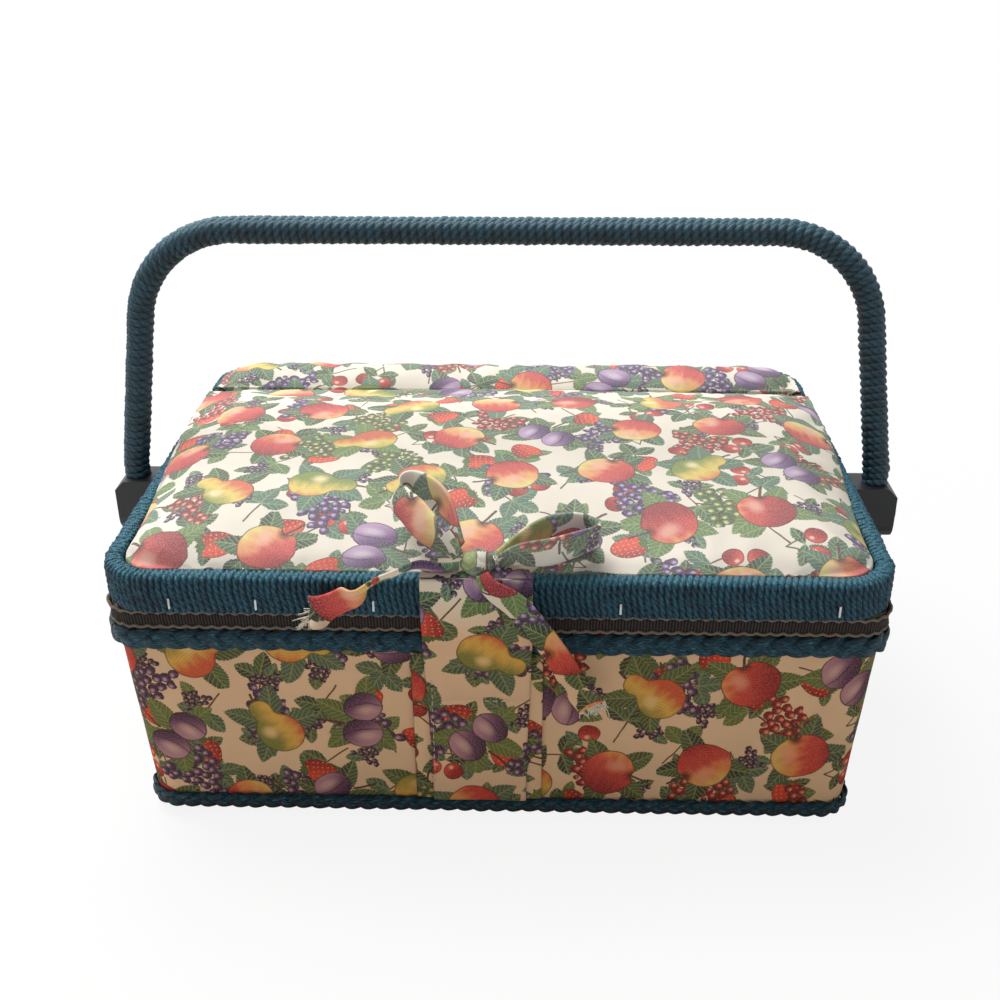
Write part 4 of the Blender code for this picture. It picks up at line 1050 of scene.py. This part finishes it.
def make_pad(name, columns, rows, edges, seam, floor, height, finish, gentle=(1, 1)):
    """A closed stuffed cover, as a grid seen from above that is finer near its edges.
    edges(share) gives y and the half width there, seam(x, y) the level of its edge,
    height(x, y, inset) how far the top stands above that, and floor(x, y, top) its
    underside. gentle makes the front or back edge rise more slowly than the sides."""
    turn = np.cos(np.pi * np.linspace(0, 1, rows))
    share = 0.5 - 0.5 * turn * (0.55 + 0.45 * np.abs(turn))
    even = np.linspace(-1, 1, columns)
    cross = 0.45 * even + 0.55 * np.sin(even * np.pi / 2)
    y, half = edges(share)
    x = cross[None, :] * half[:, None]
    y = np.broadcast_to(y[:, None], x.shape)
    side = half[:, None] - np.abs(x)
    front, back = (y - y[0, 0]) * gentle[0], (y[-1, 0] - y) * gentle[1]
    soft = 6 * MM       # rounds the creases between the four edges' slopes
    near = np.exp(-side / soft) + np.exp(-front / soft) + np.exp(-back / soft)
    inset = np.maximum(-soft * np.log(near + 1e-30), 0)
    top = seam(x, y) + height(x, y, inset)
    under = floor(x, y, top)
    count = rows * columns
    upper = np.stack([x, y, top], -1).reshape(-1, 3)
    lower = np.stack([x, y, under], -1).reshape(-1, 3)
    i = np.arange(rows - 1)[:, None]
    k = np.arange(columns - 1)[None, :]
    a = i * columns + k
    tops = np.stack([a, a + 1, a + columns + 1, a + columns], -1).reshape(-1, 4)
    rim = np.concatenate([np.arange(columns), np.arange(1, rows) * columns + columns - 1,
                          (rows - 1) * columns + np.arange(columns - 2, -1, -1),
                          np.arange(rows - 2, 0, -1) * columns])
    follow = np.roll(rim, -1)
    walls = np.stack([rim + count, follow + count, follow, rim], -1)
    faces = np.concatenate([tops, tops[:, ::-1] + count, walls])
    made = add_piece(name, np.concatenate([upper, lower]), faces.tolist(), finish)
    return face_outwards(made)


def map_from_above(piece, depth_seam, half, front, back):
    """The cloth's map: seen from above, and let out where it turns down at its edges."""
    x, y, z = points_of(piece.data).T
    drop = np.maximum(depth_seam - z, 0) * 0.9
    edge = 12 * MM
    near_side = np.clip((np.abs(x) - (half - edge)) / edge, 0, 1)
    near_front = np.clip((front + edge - y) / edge, 0, 1)
    near_back = np.clip((y - back + edge) / edge, 0, 1)
    lay_map(piece.data, np.stack([x + np.sign(x) * drop * near_side,
                                  y - drop * near_front + drop * near_back], -1))


def swell(piece, pressure, growth, reach):
    """Cloth simulation: the wadding presses the cover out between its held edges. The
    cloth has a little more length than its frame, and no point moves further than reach,
    less near the hinge, where two covers meet as the lid opens."""
    start = points_of(piece.data)
    uppers = len(start) // 2
    free = np.arange(len(start)) < uppers
    for edge in piece.data.edges:
        a, b = edge.vertices
        if (a < uppers) != (b < uppers):
            free[a] = free[b] = False
    group = piece.vertex_groups.new(name="held")
    group.add(np.flatnonzero(~free).tolist(), 1.0, "REPLACE")
    cloth = piece.modifiers.new("cloth", "CLOTH")
    cloth.settings.quality = 5
    cloth.settings.vertex_group_mass = "held"
    cloth.settings.use_pressure = True
    cloth.settings.uniform_pressure_force = pressure
    cloth.settings.shrink_min = -growth
    cloth.settings.effector_weights.gravity = 0
    cloth.collision_settings.use_collision = False
    scene = bpy.context.scene
    for frame_number in range(1, 21):
        scene.frame_set(frame_number)
    apply_all(piece)
    scene.frame_set(1)
    piece.vertex_groups.clear()
    moved = points_of(piece.data) - start
    size = np.linalg.norm(moved, axis=1, keepdims=True)
    limit = reach * smooth_rise(np.abs(start[:, 1:2] - HINGE_Y), 0.002, 0.022)
    moved *= np.minimum(1, limit / np.maximum(size, 1e-9)) * free[:, None]
    move_points(piece.data, start + moved)
    smooth = piece.modifiers.new("smooth", "SUBSURF")
    smooth.levels = smooth.render_levels = 1
    apply_all(piece)
    piece.data.shade_smooth()


def smooth_rise(value, low, high):
    """0 up to low and 1 from high, smoothly."""
    part = np.clip((value - low) / (high - low), 0, 1)
    return part * part * (3 - 2 * part)


def corner_bite(distance, corner):
    """How much a round corner takes off the half width, this far from its end."""
    bite = np.maximum(corner - distance, 0)
    return corner - np.sqrt(np.maximum(corner ** 2 - bite ** 2, 0))


def make_lid_cover(finish):
    """The lid's cotton over its wadding: tucked into the rim in front, over it at the sides."""
    front, back = pad_low.y - 0.0002, pad_high.y

    def edges(share):
        y = front + (back - front) * share
        half = pad_high.x - corner_bite(y - front, PAD_CORNER)
        return y, half + 0.0062 * smooth_rise(y, front + 0.02, front + 0.125)

    def over_rim(y):
        return smooth_rise(y, front + 0.01, front + 0.08)

    seam_front = pad_low.z + 0.0045

    def seam(x, y):
        return seam_front + 0.0012 * over_rim(y)

    def height(x, y, inset):
        edge = np.exp(-inset / 0.009)
        pucker = np.sin(x * 430 + 1.7 * np.sin(x * 90)) * 0.0004 * edge
        pucker = pucker + np.sin(y * 300 + 2.0 * np.sin(y * 60)) * 0.0003 * edge
        creases = 0.0005 * np.sin(y * 310 + 2.2 * np.sin(x * 22)) * smooth_rise(y, 0.03, 0.07)
        lean = 0.0009 * np.sin(x * 19 + 1.2) * np.sin(y * 23)
        return (rise(inset, 0.0092, 0.062, 0.0042, 0.0026)
                + (pucker + lean + creases) * smooth_rise(inset, 0, 0.004))

    def floor(x, y, top):
        beyond = np.abs(x) > lid_high.x - RIM_WIDE - LAP
        tucked = np.maximum(seam(x, y) - 0.0006, lid_high.z + 0.0002)
        return np.where(beyond, np.minimum(top - 0.0006, tucked), pad_low.z + 0.0002)

    made = make_pad("lid_cover", 104, 70, edges, seam, floor, height, finish, (1, 0.6))
    swell(made, 2.0, 0.003, 0.0025)
    map_from_above(made, seam_front + 0.004, lid_high.x, front, back)
    settle(made, "lid", "lid_pad")


def make_deck_cover(finish):
    """The narrow padded band behind the hinge."""
    front, back = rear_low.y, rear_high.y + 0.0012

    def edges(share):
        y = front + (back - front) * share
        return y, rear_high.x - corner_bite(back - y, PAD_CORNER) + 0.0045

    seam_z = deck_high.z + 0.0002

    def seam(x, y):
        return np.full(x.shape, seam_z)

    def height(x, y, inset):
        pucker = np.sin(x * 350 + 2 * np.sin(x * 60)) * 0.0005 * np.exp(-inset / 0.008)
        return rise(inset, 0.0068, 0.012, 0.0030, 0.0022) + pucker * smooth_rise(inset, 0, 0.003)

    def floor(x, y, top):
        beyond = np.abs(x) > deck_high.x - RIM_WIDE - LAP
        beyond |= y > deck_high.y - RIM_WIDE - LAP
        return np.where(beyond, np.minimum(top - 0.0005, seam_z), rear_low.z + 0.0002)

    made = make_pad("deck_cover", 110, 26, edges, seam, floor, height, finish, (0.6, 1))
    swell(made, 2.0, 0.004, 0.0018)
    map_from_above(made, seam_z + 0.004, deck_high.x, front, back)
    settle(made, "basket", "deck_pad")


def make_hinge_fold(finish):
    """The cloth that dips between the lid and the rear band."""
    count, rows = 90, 9
    half = rear_high.x
    x = np.linspace(-half, half, count)
    start, end = lid_high.y - 0.0012, rear_low.y + 0.0012
    y = np.linspace(start, end, rows)
    dip = pad_low.z + 0.0049 - 0.0016 * np.sin(np.linspace(0, np.pi, rows))
    top = np.empty((count, rows, 3))
    top[..., 0] = x[:, None]
    top[..., 1] = y[None, :]
    top[..., 2] = dip[None, :]
    under = top[:, ::-1].copy()
    under[..., 2] -= 0.0004
    rings = np.concatenate([top, under], axis=1)
    made = skin("hinge_fold", rings, x, np.linspace(start, start + 0.012, 2 * rows + 1), finish)
    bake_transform(made)
    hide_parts("hinge_cloth")


# ---------------------------------------------------------------- inside

def make_wall_lining(finish):
    """The cloth that lines the box."""
    count = 420
    low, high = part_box("wall_lining")
    heights = np.linspace(low.z, high.z, 16)
    rows = []
    for height in heights:
        place, out, so_far = box_line(height, -0.0046, count)
        wave = 0.00012 * np.sin(so_far * 120 + height * 90)
        rows.append(np.column_stack([place + out * wave[:, None], np.full(count, height)]))
    rows += [level_ring(height, -0.0040, count) for height in heights[::-5]]
    across = np.linspace(0, 2 * (high.z - low.z), len(rows) + 1)
    made = skin("wall_lining_cloth", np.stack(rows, axis=1), so_far, across, finish, closed=True)
    settle(made, "basket", "wall_lining")


def rounded_edges(low, high, corner):
    """The edges of a pad with four round corners, for make_pad."""
    def edges(share):
        y = low.y + (high.y - low.y) * share
        near = np.minimum(y - low.y, high.y - y)
        return y, (high.x - low.x) / 2 - corner_bite(near, corner)
    return edges


def level_at(height):
    """A seam at one level, for make_pad."""
    return lambda x, y: np.full(x.shape, height)


def flat_floor(height):
    """A flat underside, for make_pad."""
    return lambda x, y, top: np.full(x.shape, height)


def make_lid_lining(finish):
    """The cloth under the lid, stretched over its board's lower face."""
    low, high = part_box("lid_lining")

    def height(x, y, inset):
        return 0 * x

    def floor(x, y, top):
        return top - 0.0007 - 0.00015 * np.sin(x * 60) * np.sin(y * 70)

    made = make_pad("lid_lining_cloth", 60, 40, rounded_edges(low, high, 12 * MM),
                    level_at(high.z), floor, height, finish)
    settle(made, "lid", "lid_lining")


def make_floor_cushion(finish):
    """The thin quilted pad on the box's floor."""
    low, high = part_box("floor_pad")

    def height(x, y, inset):
        quilt = 0.0003 * (np.cos(x * 200) + np.cos(y * 200)) * smooth_rise(inset, 0.004, 0.012)
        return rise(inset, 0.0024, 0.03, 0.0016, 0.003) + quilt

    made = make_pad("floor_cushion", 80, 54, rounded_edges(low, high, 6 * MM),
                    level_at(low.z + 0.0018), flat_floor(low.z + 0.0001), height, finish)
    swell(made, 1.0, 0.002, 0.0006)
    settle(made, "basket", "floor_pad")


def make_pincushion(finish):
    """The pincushion under the lid, gathered in at its edge."""
    low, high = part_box("pincushion")
    middle = (low + high) / 2
    shape = rounded_edges(low - middle, high - middle, 10 * MM)

    def height(x, y, inset):
        gather = 0.0003 * np.sin(np.arctan2(y, x) * 26) * np.exp(-inset / 0.004)
        return rise(inset, 0.0050, 0.018, 0.0026, 0.002) + gather * smooth_rise(inset, 0, 0.003)

    made = make_pad("pincushion_pad", 48, 36, shape, level_at(0.0010), flat_floor(0.0001),
                    height, finish)
    swell(made, 2.0, 0.004, 0.0008)
    # It is made crown up, and hangs crown down under the lid's lining.
    made.data.transform(Matrix.Translation((middle.x, middle.y, high.z))
                        @ Matrix.Diagonal((1, 1, -1, 1)))
    face_outwards(made)
    settle(made, "lid", "pincushion")


# ---------------------------------------------------------------- strap, panel and bow

strap_low, strap_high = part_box("closure_strap")
panel_low, panel_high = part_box("front_panel")
strap_x = (strap_low.x + strap_high.x) / 2 - STRAP_MIDDLE_OFF
panel_thick = 1.0 * MM


def ribbon_rings(middles, acrosses, widths, thick, cup=0.0):
    """Rings of a folded ribbon, open along one edge so that its two layers show there:
    middle line, width directions, widths and thickness."""
    ahead = np.gradient(middles, axis=0)
    ahead /= np.linalg.norm(ahead, axis=1, keepdims=True)
    across = acrosses - (acrosses * ahead).sum(axis=1, keepdims=True) * ahead
    across /= np.linalg.norm(across, axis=1, keepdims=True)
    face = np.cross(across, ahead)
    flat = np.array([-1.0, -0.98, -0.8, -0.5, -0.2, 0.1, 0.4, 0.7, 0.9, 0.985, 1.0, 0.985, 0.9,
                     0.7, 0.4, 0.1, -0.2, -0.5, -0.8, -0.98, -1.0, -0.97, -0.8, -0.55,
                     -0.55, -0.8, -0.97])
    tall = np.array([0.62, 0.9, 1.0, 1.0, 1.0, 1.0, 1.0, 1.0, 0.92, 0.6, 0.0, -0.6, -0.92,
                     -1.0, -1.0, -1.0, -1.0, -1.0, -1.0, -0.9, -0.62, -0.28, -0.2, -0.06,
                     0.06, 0.2, 0.28])
    bow = cup * (1 - flat ** 2)
    widths = np.broadcast_to(widths, (len(middles),))
    rings = (middles[:, None, :]
             + across[:, None, :] * (flat[None, :] * widths[:, None] / 2)[..., None]
             + face[:, None, :] * (tall[None, :] * thick / 2
                                   + bow[None, :] * widths[:, None])[..., None])
    wide = float(np.mean(widths))
    side = np.concatenate([(flat[:11] + 1) * wide / 2, wide + (1 - flat[11:21]) * wide / 2,
                           2 * wide + (flat[21:] + 1) * wide / 4, [2.2 * wide]])
    return rings, side


def ribbon_piece(name, middles, acrosses, widths, thick, finish, offset, cup=0.0):
    """A ribbon along a line, and its length; offset is where it lies on the print."""
    rings, side = ribbon_rings(middles, acrosses, widths, thick, cup)
    so_far = length_so_far(middles)
    return skin(name, rings, so_far + offset[0], side + offset[1], finish), so_far[-1]


def upright_ribbon(name, x, ys, heights, widths, thick, finish, offset, cup=0.0):
    """A ribbon that runs up and down the front and whose width runs from side to side."""
    middles = np.column_stack([np.full(len(heights), x), ys, heights])
    acrosses = np.tile([1.0, 0, 0], (len(heights), 1))
    return ribbon_piece(name, middles, acrosses, widths, thick, finish, offset, cup)


def make_strap_and_panel(finish):
    """The strap over the rim, one cloth with the panel's face, and the wider panel under it."""
    under = 2 * GLUE + panel_thick
    low = panel_low.z
    levels = [
        (low, box_front(low) - under - 0.0006),
        (0.040, box_front(0.040) - under - 0.0006),
        (0.070, box_front(0.070) - under - 0.0006),
        (braid_low.z - 0.0030, box_front(braid_low.z) - under - 0.0010),
        (braid_low.z + 0.0005, box_front(braid_low.z) - 0.0040),
        (braid_high.z, box_front(braid_high.z) - 0.0044),
        (cover_high.z, lid_low.y - 0.0019),
        (lid_high.z - 0.0040, lid_low.y - 0.0020),
        (lid_high.z + 0.0014, lid_low.y - 0.0017),
    ]
    heights = np.linspace(levels[0][0], levels[-1][0], 70)
    ys = np.interp(heights, [z for z, _ in levels], [y for _, y in levels])
    for _ in range(3):
        ys[1:-1] = (ys[:-2] + 2 * ys[1:-1] + ys[2:]) / 4
    widths = 0.0352 + 0.0036 * smooth_rise(heights, 0.02, 0.09)
    strap, strap_long = upright_ribbon("strap_cloth", strap_x, ys, heights, widths, STRAP_THICK,
                                       finish, STRAP_PRINT, cup=-0.008)
    settle(strap, "basket", "closure_strap")
    heights = np.linspace(low, braid_low.z - GLUE, 40)
    ys = np.array([box_front(height) for height in heights]) - GLUE - panel_thick / 2
    wide = panel_high.x - panel_low.x
    panel, panel_long = upright_ribbon("panel_cloth", (panel_low.x + panel_high.x) / 2, ys,
                                       heights, wide, panel_thick, finish, PANEL_PRINT)
    settle(panel, "basket", "front_panel")


def smooth_line(stations, steps):
    """Points, width directions and widths on a smooth curve through a ribbon's stations."""
    rows = np.array([[*place, *across, width] for place, across, width in stations], float)
    ends = np.vstack([rows[:1], rows, rows[-1:]])
    line = []
    for a, b, c, d in zip(ends, ends[1:], ends[2:], ends[3:]):
        for i in range(steps):
            t = i / steps
            line.append(((-t ** 3 + 2 * t ** 2 - t) * a + (3 * t ** 3 - 5 * t ** 2 + 2) * b
                         + (-3 * t ** 3 + 4 * t ** 2 + t) * c + (t ** 3 - t ** 2) * d) / 2)
    line.append(rows[-1])
    return np.array(line)


UNIT = 13 * MM                      # the bow's numbers below are in this unit, from its knot
UPRIGHT = (0.1, -0.35, 0.93)        # ways that a ribbon's width runs
LEANING = (0.55, -0.2, 0.8)
RIBBON_THICK = 1.7 * MM
BOW_PRINT = {                       # where each ribbon lies on the print
    "bow_loop_right": (0.713, 0.012), "bow_loop_left": (0.884, 0.069),
    "bow_tail_left": (1.055, 0.126), "bow_tail_right": (1.250, 0.183)}
BOW = {                             # places along each ribbon, its way across and its width
    "bow_loop_right": [
        ((0.54, -0.06, 0.06), UPRIGHT, 0.40), ((1.30, -0.10, 0.30), UPRIGHT, 0.85),
        ((2.20, 0.10, 0.42), UPRIGHT, 1.00), ((2.95, 0.45, 0.45), UPRIGHT, 0.85),
        ((3.12, 0.85, 0.50), UPRIGHT, 0.75), ((2.75, 1.12, 0.55), UPRIGHT, 0.85),
        ((1.90, 0.95, 0.55), UPRIGHT, 0.90), ((1.20, 0.60, 0.42), UPRIGHT, 0.80),
        ((0.52, 0.14, 0.16), UPRIGHT, 0.30)],
    "bow_loop_left": [
        ((-0.54, -0.02, 0.14), LEANING, 0.32), ((-1.05, 0.35, 0.62), LEANING, 0.75),
        ((-1.55, 0.80, 0.86), LEANING, 0.90), ((-2.05, 1.30, 1.02), LEANING, 0.80),
        ((-2.20, 1.70, 1.16), LEANING, 0.70), ((-1.85, 1.85, 1.34), LEANING, 0.75),
        ((-1.30, 1.45, 1.22), LEANING, 0.85), ((-0.85, 0.90, 0.90), LEANING, 0.72),
        ((-0.42, 0.28, 0.34), LEANING, 0.26)],
    "bow_tail_left": [
        ((-0.53, -0.16, -0.06), (0.1, -0.5, 0.8), 0.26),
        ((-1.30, -0.25, 0.05), (0.2, -0.7, 0.7), 0.60),
        ((-2.10, -0.45, 0.00), (0.3, -0.75, 0.6), 0.62),
        ((-2.80, -0.72, -0.30), (0.5, -0.6, 0.7), 0.62),
        ((-3.50, -0.74, -0.72), (0.55, -0.15, 0.8), 0.75),
        ((-4.30, -0.72, -1.20), (0.6, 0.0, 0.8), 0.90)],
    "bow_tail_right": [
        ((0.14, -0.45, -0.10), (0.7, -0.1, 0.5), 0.34),
        ((0.70, -0.82, -0.60), (0.75, -0.1, 0.5), 0.60),
        ((1.40, -0.84, -1.20), (0.8, -0.1, 0.4), 0.66),
        ((2.00, -0.82, -2.20), (0.9, 0.0, 0.4), 0.62),
        ((2.55, -0.66, -3.20), (0.9, 0.1, 0.45), 0.66),
        ((3.05, -0.50, -4.20), (0.9, 0.1, 0.5), 0.72)],
}


def thin_threads(name, lines, finish):
    """Many short threads in one piece, each along its own line of points."""
    rings, faces, start = [], [], 0
    sides = 4
    angles = np.linspace(0, FULL_TURN, sides, endpoint=False)
    for line in lines:
        ahead = np.gradient(line, axis=0)
        ahead /= np.linalg.norm(ahead, axis=1, keepdims=True)
        side = np.cross(ahead, [0.31, 0.17, 0.93])
        side /= np.linalg.norm(side, axis=1, keepdims=True)
        up = np.cross(side, ahead)
        ring = line[:, None, :] + THREAD_RADIUS * (
            np.cos(angles)[None, :, None] * side[:, None, :]
            + np.sin(angles)[None, :, None] * up[:, None, :])
        count = len(line)
        i = np.arange(count - 1)[:, None]
        k = np.arange(sides)[None, :]
        m = (k + 1) % sides
        quads = np.stack([i * sides + k, i * sides + m, (i + 1) * sides + m,
                          (i + 1) * sides + k], -1).reshape(-1, 4)
        faces += (quads + start).tolist()
        faces.append([start + n for n in range(sides)][::-1])
        faces.append([start + (count - 1) * sides + n for n in range(sides)])
        rings.append(ring.reshape(-1, 3))
        start += count * sides
    return face_outwards(add_piece(name, np.concatenate(rings), faces, finish))


def frayed_end(name, end, ahead, across, width, count, seed, finish):
    """Loose threads at a ribbon's cut end."""
    chance = np.random.default_rng(seed)
    ahead, across = np.array(ahead) / np.linalg.norm(ahead), np.array(across)
    across = across / np.linalg.norm(across)
    lines = []
    for _ in range(count):
        place = np.array(end) + across * width * chance.uniform(-0.5, 0.5)
        reach = chance.uniform(0.0015, 0.0052)
        stray = chance.normal(0, 0.35, 3)
        curl = chance.normal(0, 0.25, 3)
        t = np.linspace(-0.25, 1, 6)[:, None]
        lines.append(place + t * reach * (ahead + stray * 0.6) + t ** 2 * reach * curl)
    return thin_threads(name, lines, finish)


def make_stitches(finish):
    """The two rows of stitches on the panel: one upright, one across."""
    x, pitch, row = strap_low.x + 0.0026, 0.0031, 0.0597
    # One stitch: how far along its row and how far into the cloth, at four points.
    along = np.array([0, 0.0004, 0.0012, 0.0016])
    sunk = np.array([0.0003, 0, 0, 0.0003])
    lines = []
    for z in np.arange(0.0200, 0.0680, pitch):
        lines.append(np.column_stack([np.full(4, x), box_front(z) - 0.0034 + sunk, z + along]))
    y = box_front(row) - 0.0036
    for start in np.arange(x + 0.0035, strap_high.x - 0.004, pitch):
        lines.append(np.column_stack([start + along, y + sunk, np.full(4, row)]))
    settle(thin_threads("panel_stitches", lines, finish), "basket")


def make_strap_end(finish):
    """The strap's end where it turns over the rim's top and is gathered into the knot."""
    front, top = lid_low.y, lid_high.z
    route = np.array([(front - 0.0005, top + 0.0009), (front + 0.0002, top + 0.0013),
                      (front + 0.0012, top + 0.0016), (front + 0.0030, top + 0.0018),
                      (front + 0.0058, top + 0.0020), (front + 0.0102, top + 0.0022)])
    share = np.linspace(0, 1, 22)
    ys = np.interp(share * 5, np.arange(6), route[:, 0])
    zs = np.interp(share * 5, np.arange(6), route[:, 1])
    widths = 0.0388 * (1 - 0.16 * share ** 2)
    strap_long = 0.1067
    made, long = upright_ribbon("strap_end", strap_x, ys, zs, widths, STRAP_THICK, finish,
                                (STRAP_PRINT[0] + strap_long, STRAP_PRINT[1]))
    settle(made, "lid")


def make_bow(finish, shaded_tail_finish, thread):
    """The tie: a small tight knot, two loops and two tails whose ends fray."""
    knot = (knot_low + knot_high) / 2
    for number, (name, stations) in enumerate(BOW.items()):
        line = smooth_line(stations, 14)
        middles = np.array(knot) + UNIT * line[:, :3]
        so_far = np.linspace(0, 1, len(line))[:, None]
        middles = middles + 0.0005 * np.sin(so_far * [17, 23, 19] + number)
        wide = UNIT * 1.08 * line[:, 6]
        is_tail = "tail" in name
        # The tails take the box's copy of the cotton, with its painted shade.
        ribbon, long = ribbon_piece(name + "_ribbon", middles, line[:, 3:6], wide, RIBBON_THICK,
                                    shaded_tail_finish if is_tail else finish, BOW_PRINT[name],
                                    cup=0.06)
        settle(ribbon, "lid", name)
        if is_tail:
            fray = frayed_end(name + "_fray", middles[-1], middles[-1] - middles[-3],
                              line[-1, 3:6], wide[-1], 70, 60 + number, thread)
            settle(fray, "lid")
    make_knot(finish)


def make_knot(finish):
    """The bow's knot: a small creased bundle."""
    knot = np.array((knot_low + knot_high) / 2)
    bpy.ops.mesh.primitive_uv_sphere_add(segments=44, ring_count=28, radius=0.5)
    wrap = bpy.context.active_object
    wrap.name = wrap.data.name = "bow_wrap"
    size = np.array(knot_high) - np.array(knot_low)
    points = points_of(wrap.data).astype(float)
    crease = np.abs(np.sin(points[:, 2] * 7 + points[:, 0] * 3.4 + 0.6)) ** 0.5
    square = 1 + 0.16 * (1 - np.abs(2 * points[:, 0])) * (np.abs(2 * points[:, 2]) ** 2)
    placed = points * size * (0.86 + 0.14 * crease)[:, None] * square[:, None] + knot
    move_points(wrap.data, placed)
    wrap.data.uv_layers[0].name = "run"
    lay_map(wrap.data, np.stack([placed[:, 0] + 1.262, placed[:, 2] - placed[:, 1] + 0.218], -1))
    wrap.data.materials.append(finish)
    wrap.data.shade_smooth()
    settle(wrap, "lid", "bow_knot")


# ---------------------------------------------------------------- room

ROOM_LIGHT = 0.26       # what lights the object; the camera and reflections see white, 1


def make_world():
    """A pale room: soft light all round, and white where it is seen or reflected."""
    world = bpy.data.worlds.new("pale room")
    world.use_nodes = True
    bpy.context.scene.world = world
    tree = world.node_tree
    rays = Wire(tree).node("ShaderNodeLightPath")
    outputs = rays.socket.node.outputs
    seen = rays.most(Wire(tree, outputs["Is Glossy Ray"]))
    seen = seen.most(Wire(tree, outputs["Is Transmission Ray"]))
    strength = seen.node("ShaderNodeMix", {"data_type": "FLOAT"},
                         {0: seen, 2: ROOM_LIGHT, 3: 1.0})
    background = tree.nodes["Background"]
    tree.links.new(strength.socket, background.inputs["Strength"])
    background.inputs["Color"].default_value = WHITE


def make_floor():
    """The studio floor: it keeps the object's shadow near it and goes to white further out."""
    bpy.ops.mesh.primitive_plane_add(size=14)
    floor = bpy.context.active_object
    floor.name = "studio_floor"
    finish, shader, wire = start_finish("pale studio floor")
    connect(wire, shader, Base_Color=(0.9, 0.9, 0.9, 1), Roughness=0.9, Specular_IOR_Level=0.0)
    camera_ray = wire.node("ShaderNodeLightPath")
    spot = wire.node("ShaderNodeTexCoord", {}, {}, 3)
    far = 0.88 + length(spot.part(0), spot.part(1)).between(0.2, 0.55) * 0.12
    glow = wire.node("ShaderNodeEmission", {}, {0: WHITE, 1: 1.0})
    mixed = wire.node("ShaderNodeMixShader", {}, {
        0: camera_ray * far, 1: Wire(finish.node_tree, shader.outputs[0]), 2: glow})
    surface = finish.node_tree.nodes["Material Output"].inputs[0]
    finish.node_tree.links.new(mixed.socket, surface)
    floor.data.materials.append(finish)


# ---------------------------------------------------------------- putting it together

set_camera()

CREAM = rgb(247, 240, 225)
# The lid's copy of the print, paled by haze: painted light on the brightly lit lid.
cotton = printed_cotton("printed cotton, lid, painted light", CREAM, 0.12)
# The box's copy of the print, with painted shade: warmer and darker low down.
shaded_box_cotton = printed_cotton("printed cotton, box, painted shade", CREAM, 0.0, (0.83, 0.57, 0.38))
rim_finish = cord_finish("wound rim cord", rgb(1, 18, 26), rgb(10, 68, 88), rgb(96, 176, 200),
                         RIM_TURN / MM, RIM_PLY / MM, 0.35)
handle_finish = cord_finish("wound handle cord", rgb(1, 14, 20), rgb(10, 54, 70),
                            rgb(96, 160, 184), HANDLE_TURN / MM, HANDLE_PLY / MM, 0.4)
braid_finish = fibre_finish("raffia braid", rgb(2, 20, 27), rgb(18, 74, 92),
                            rgb(84, 144, 162), 5.2)
gimp_finish = ribbed_cloth("gimp tape", rgb(66, 58, 52), rgb(24, 22, 22), 0.0011)
edging_finish = plain_cloth("gimp edging", rgb(122, 110, 98), 0.0004)
lining_finish = plain_cloth("box lining", rgb(226, 214, 190), 0.0005)
cushion_finish = plain_cloth("pincushion cloth", rgb(150, 44, 50), 0.0005)
thread_finish = plain_cloth("cream thread", rgb(232, 222, 200), 0.0002)

make_box_cloth(shaded_box_cotton)
make_braid("top_braid_strands", "top_braid", braid_low.z, braid_high.z, 2.8 * MM, 5.4 * MM, 38,
           braid_finish)
make_braid("base_braid_strands", "base_braid", base_low.z, base_high.z, 2.4 * MM, 3.9 * MM, 48,
           braid_finish)
make_gimp(gimp_finish, edging_finish)
make_wound_rim("lid_rim_winding", "lid_rim_cord", "lid", *lid_rim_line(), lid_low.z, lid_high.z,
               rim_finish, 5)
make_wound_rim("deck_rim_winding", "deck_rim_cord", "basket", *deck_rim_line(), deck_low.z,
               deck_high.z, rim_finish, 6)
make_wound_handle(handle_finish)
make_lid_cover(cotton)
make_deck_cover(cotton)
make_hinge_fold(cotton)
make_strap_and_panel(shaded_box_cotton)
make_bow(cotton, shaded_box_cotton, thread_finish)
make_strap_end(shaded_box_cotton)
make_stitches(thread_finish)
make_wall_lining(lining_finish)
make_lid_lining(lining_finish)
make_floor_cushion(lining_finish)
make_pincushion(cushion_finish)

# The solids that show as they are, by finish.
carried = {
    moulded_plastic("black moulded plastic", rgb(22, 26, 30), 0.38): (
        "handle_sleeve_left", "handle_sleeve_right", "foot_front_left", "foot_front_right",
        "foot_rear_left", "foot_rear_right"),
    moulded_plastic("cream tray plastic", rgb(226, 220, 204), 0.4): ("insert_tray",),
    board_finish("grey board", rgb(150, 132, 108)): (
        "wall_board", "bottom_board", "tray_ledge", "lid_board", "deck_board", "lid_rim_core",
        "deck_rim_core"),
    board_finish("bent cane", rgb(188, 156, 104)): ("handle_core",),
    plain_cloth("black base paper", rgb(24, 24, 26), 0.0008): ("base_sheet",),
    steel_finish("bright steel"): (
        "pivot_rivet_left", "pivot_rivet_right", "pivot_washer_left", "pivot_washer_right",
        "pivot_spacer_left", "pivot_spacer_right", "rim_staple_1", "rim_staple_2", "rim_staple_3",
        "rim_staple_4", "rim_staple_5"),
}
for finish, names in carried.items():
    for name in names:
        nodes[name].data.materials.clear()
        nodes[name].data.materials.append(finish)

add_lamp("overhead softbox", (-0.42, 0.36, 1.15), (0, 0.02, 0.09), (1.0, 0.9), 19.0,
         (1.0, 0.985, 0.97))
add_lamp("front fill", (0.15, -1.5, 0.55), (0, 0, 0.07), (1.6, 1.0), 2.0, (1.0, 0.97, 0.93))
make_world()
make_floor()

bpy.context.scene.view_settings.view_transform = "Standard"
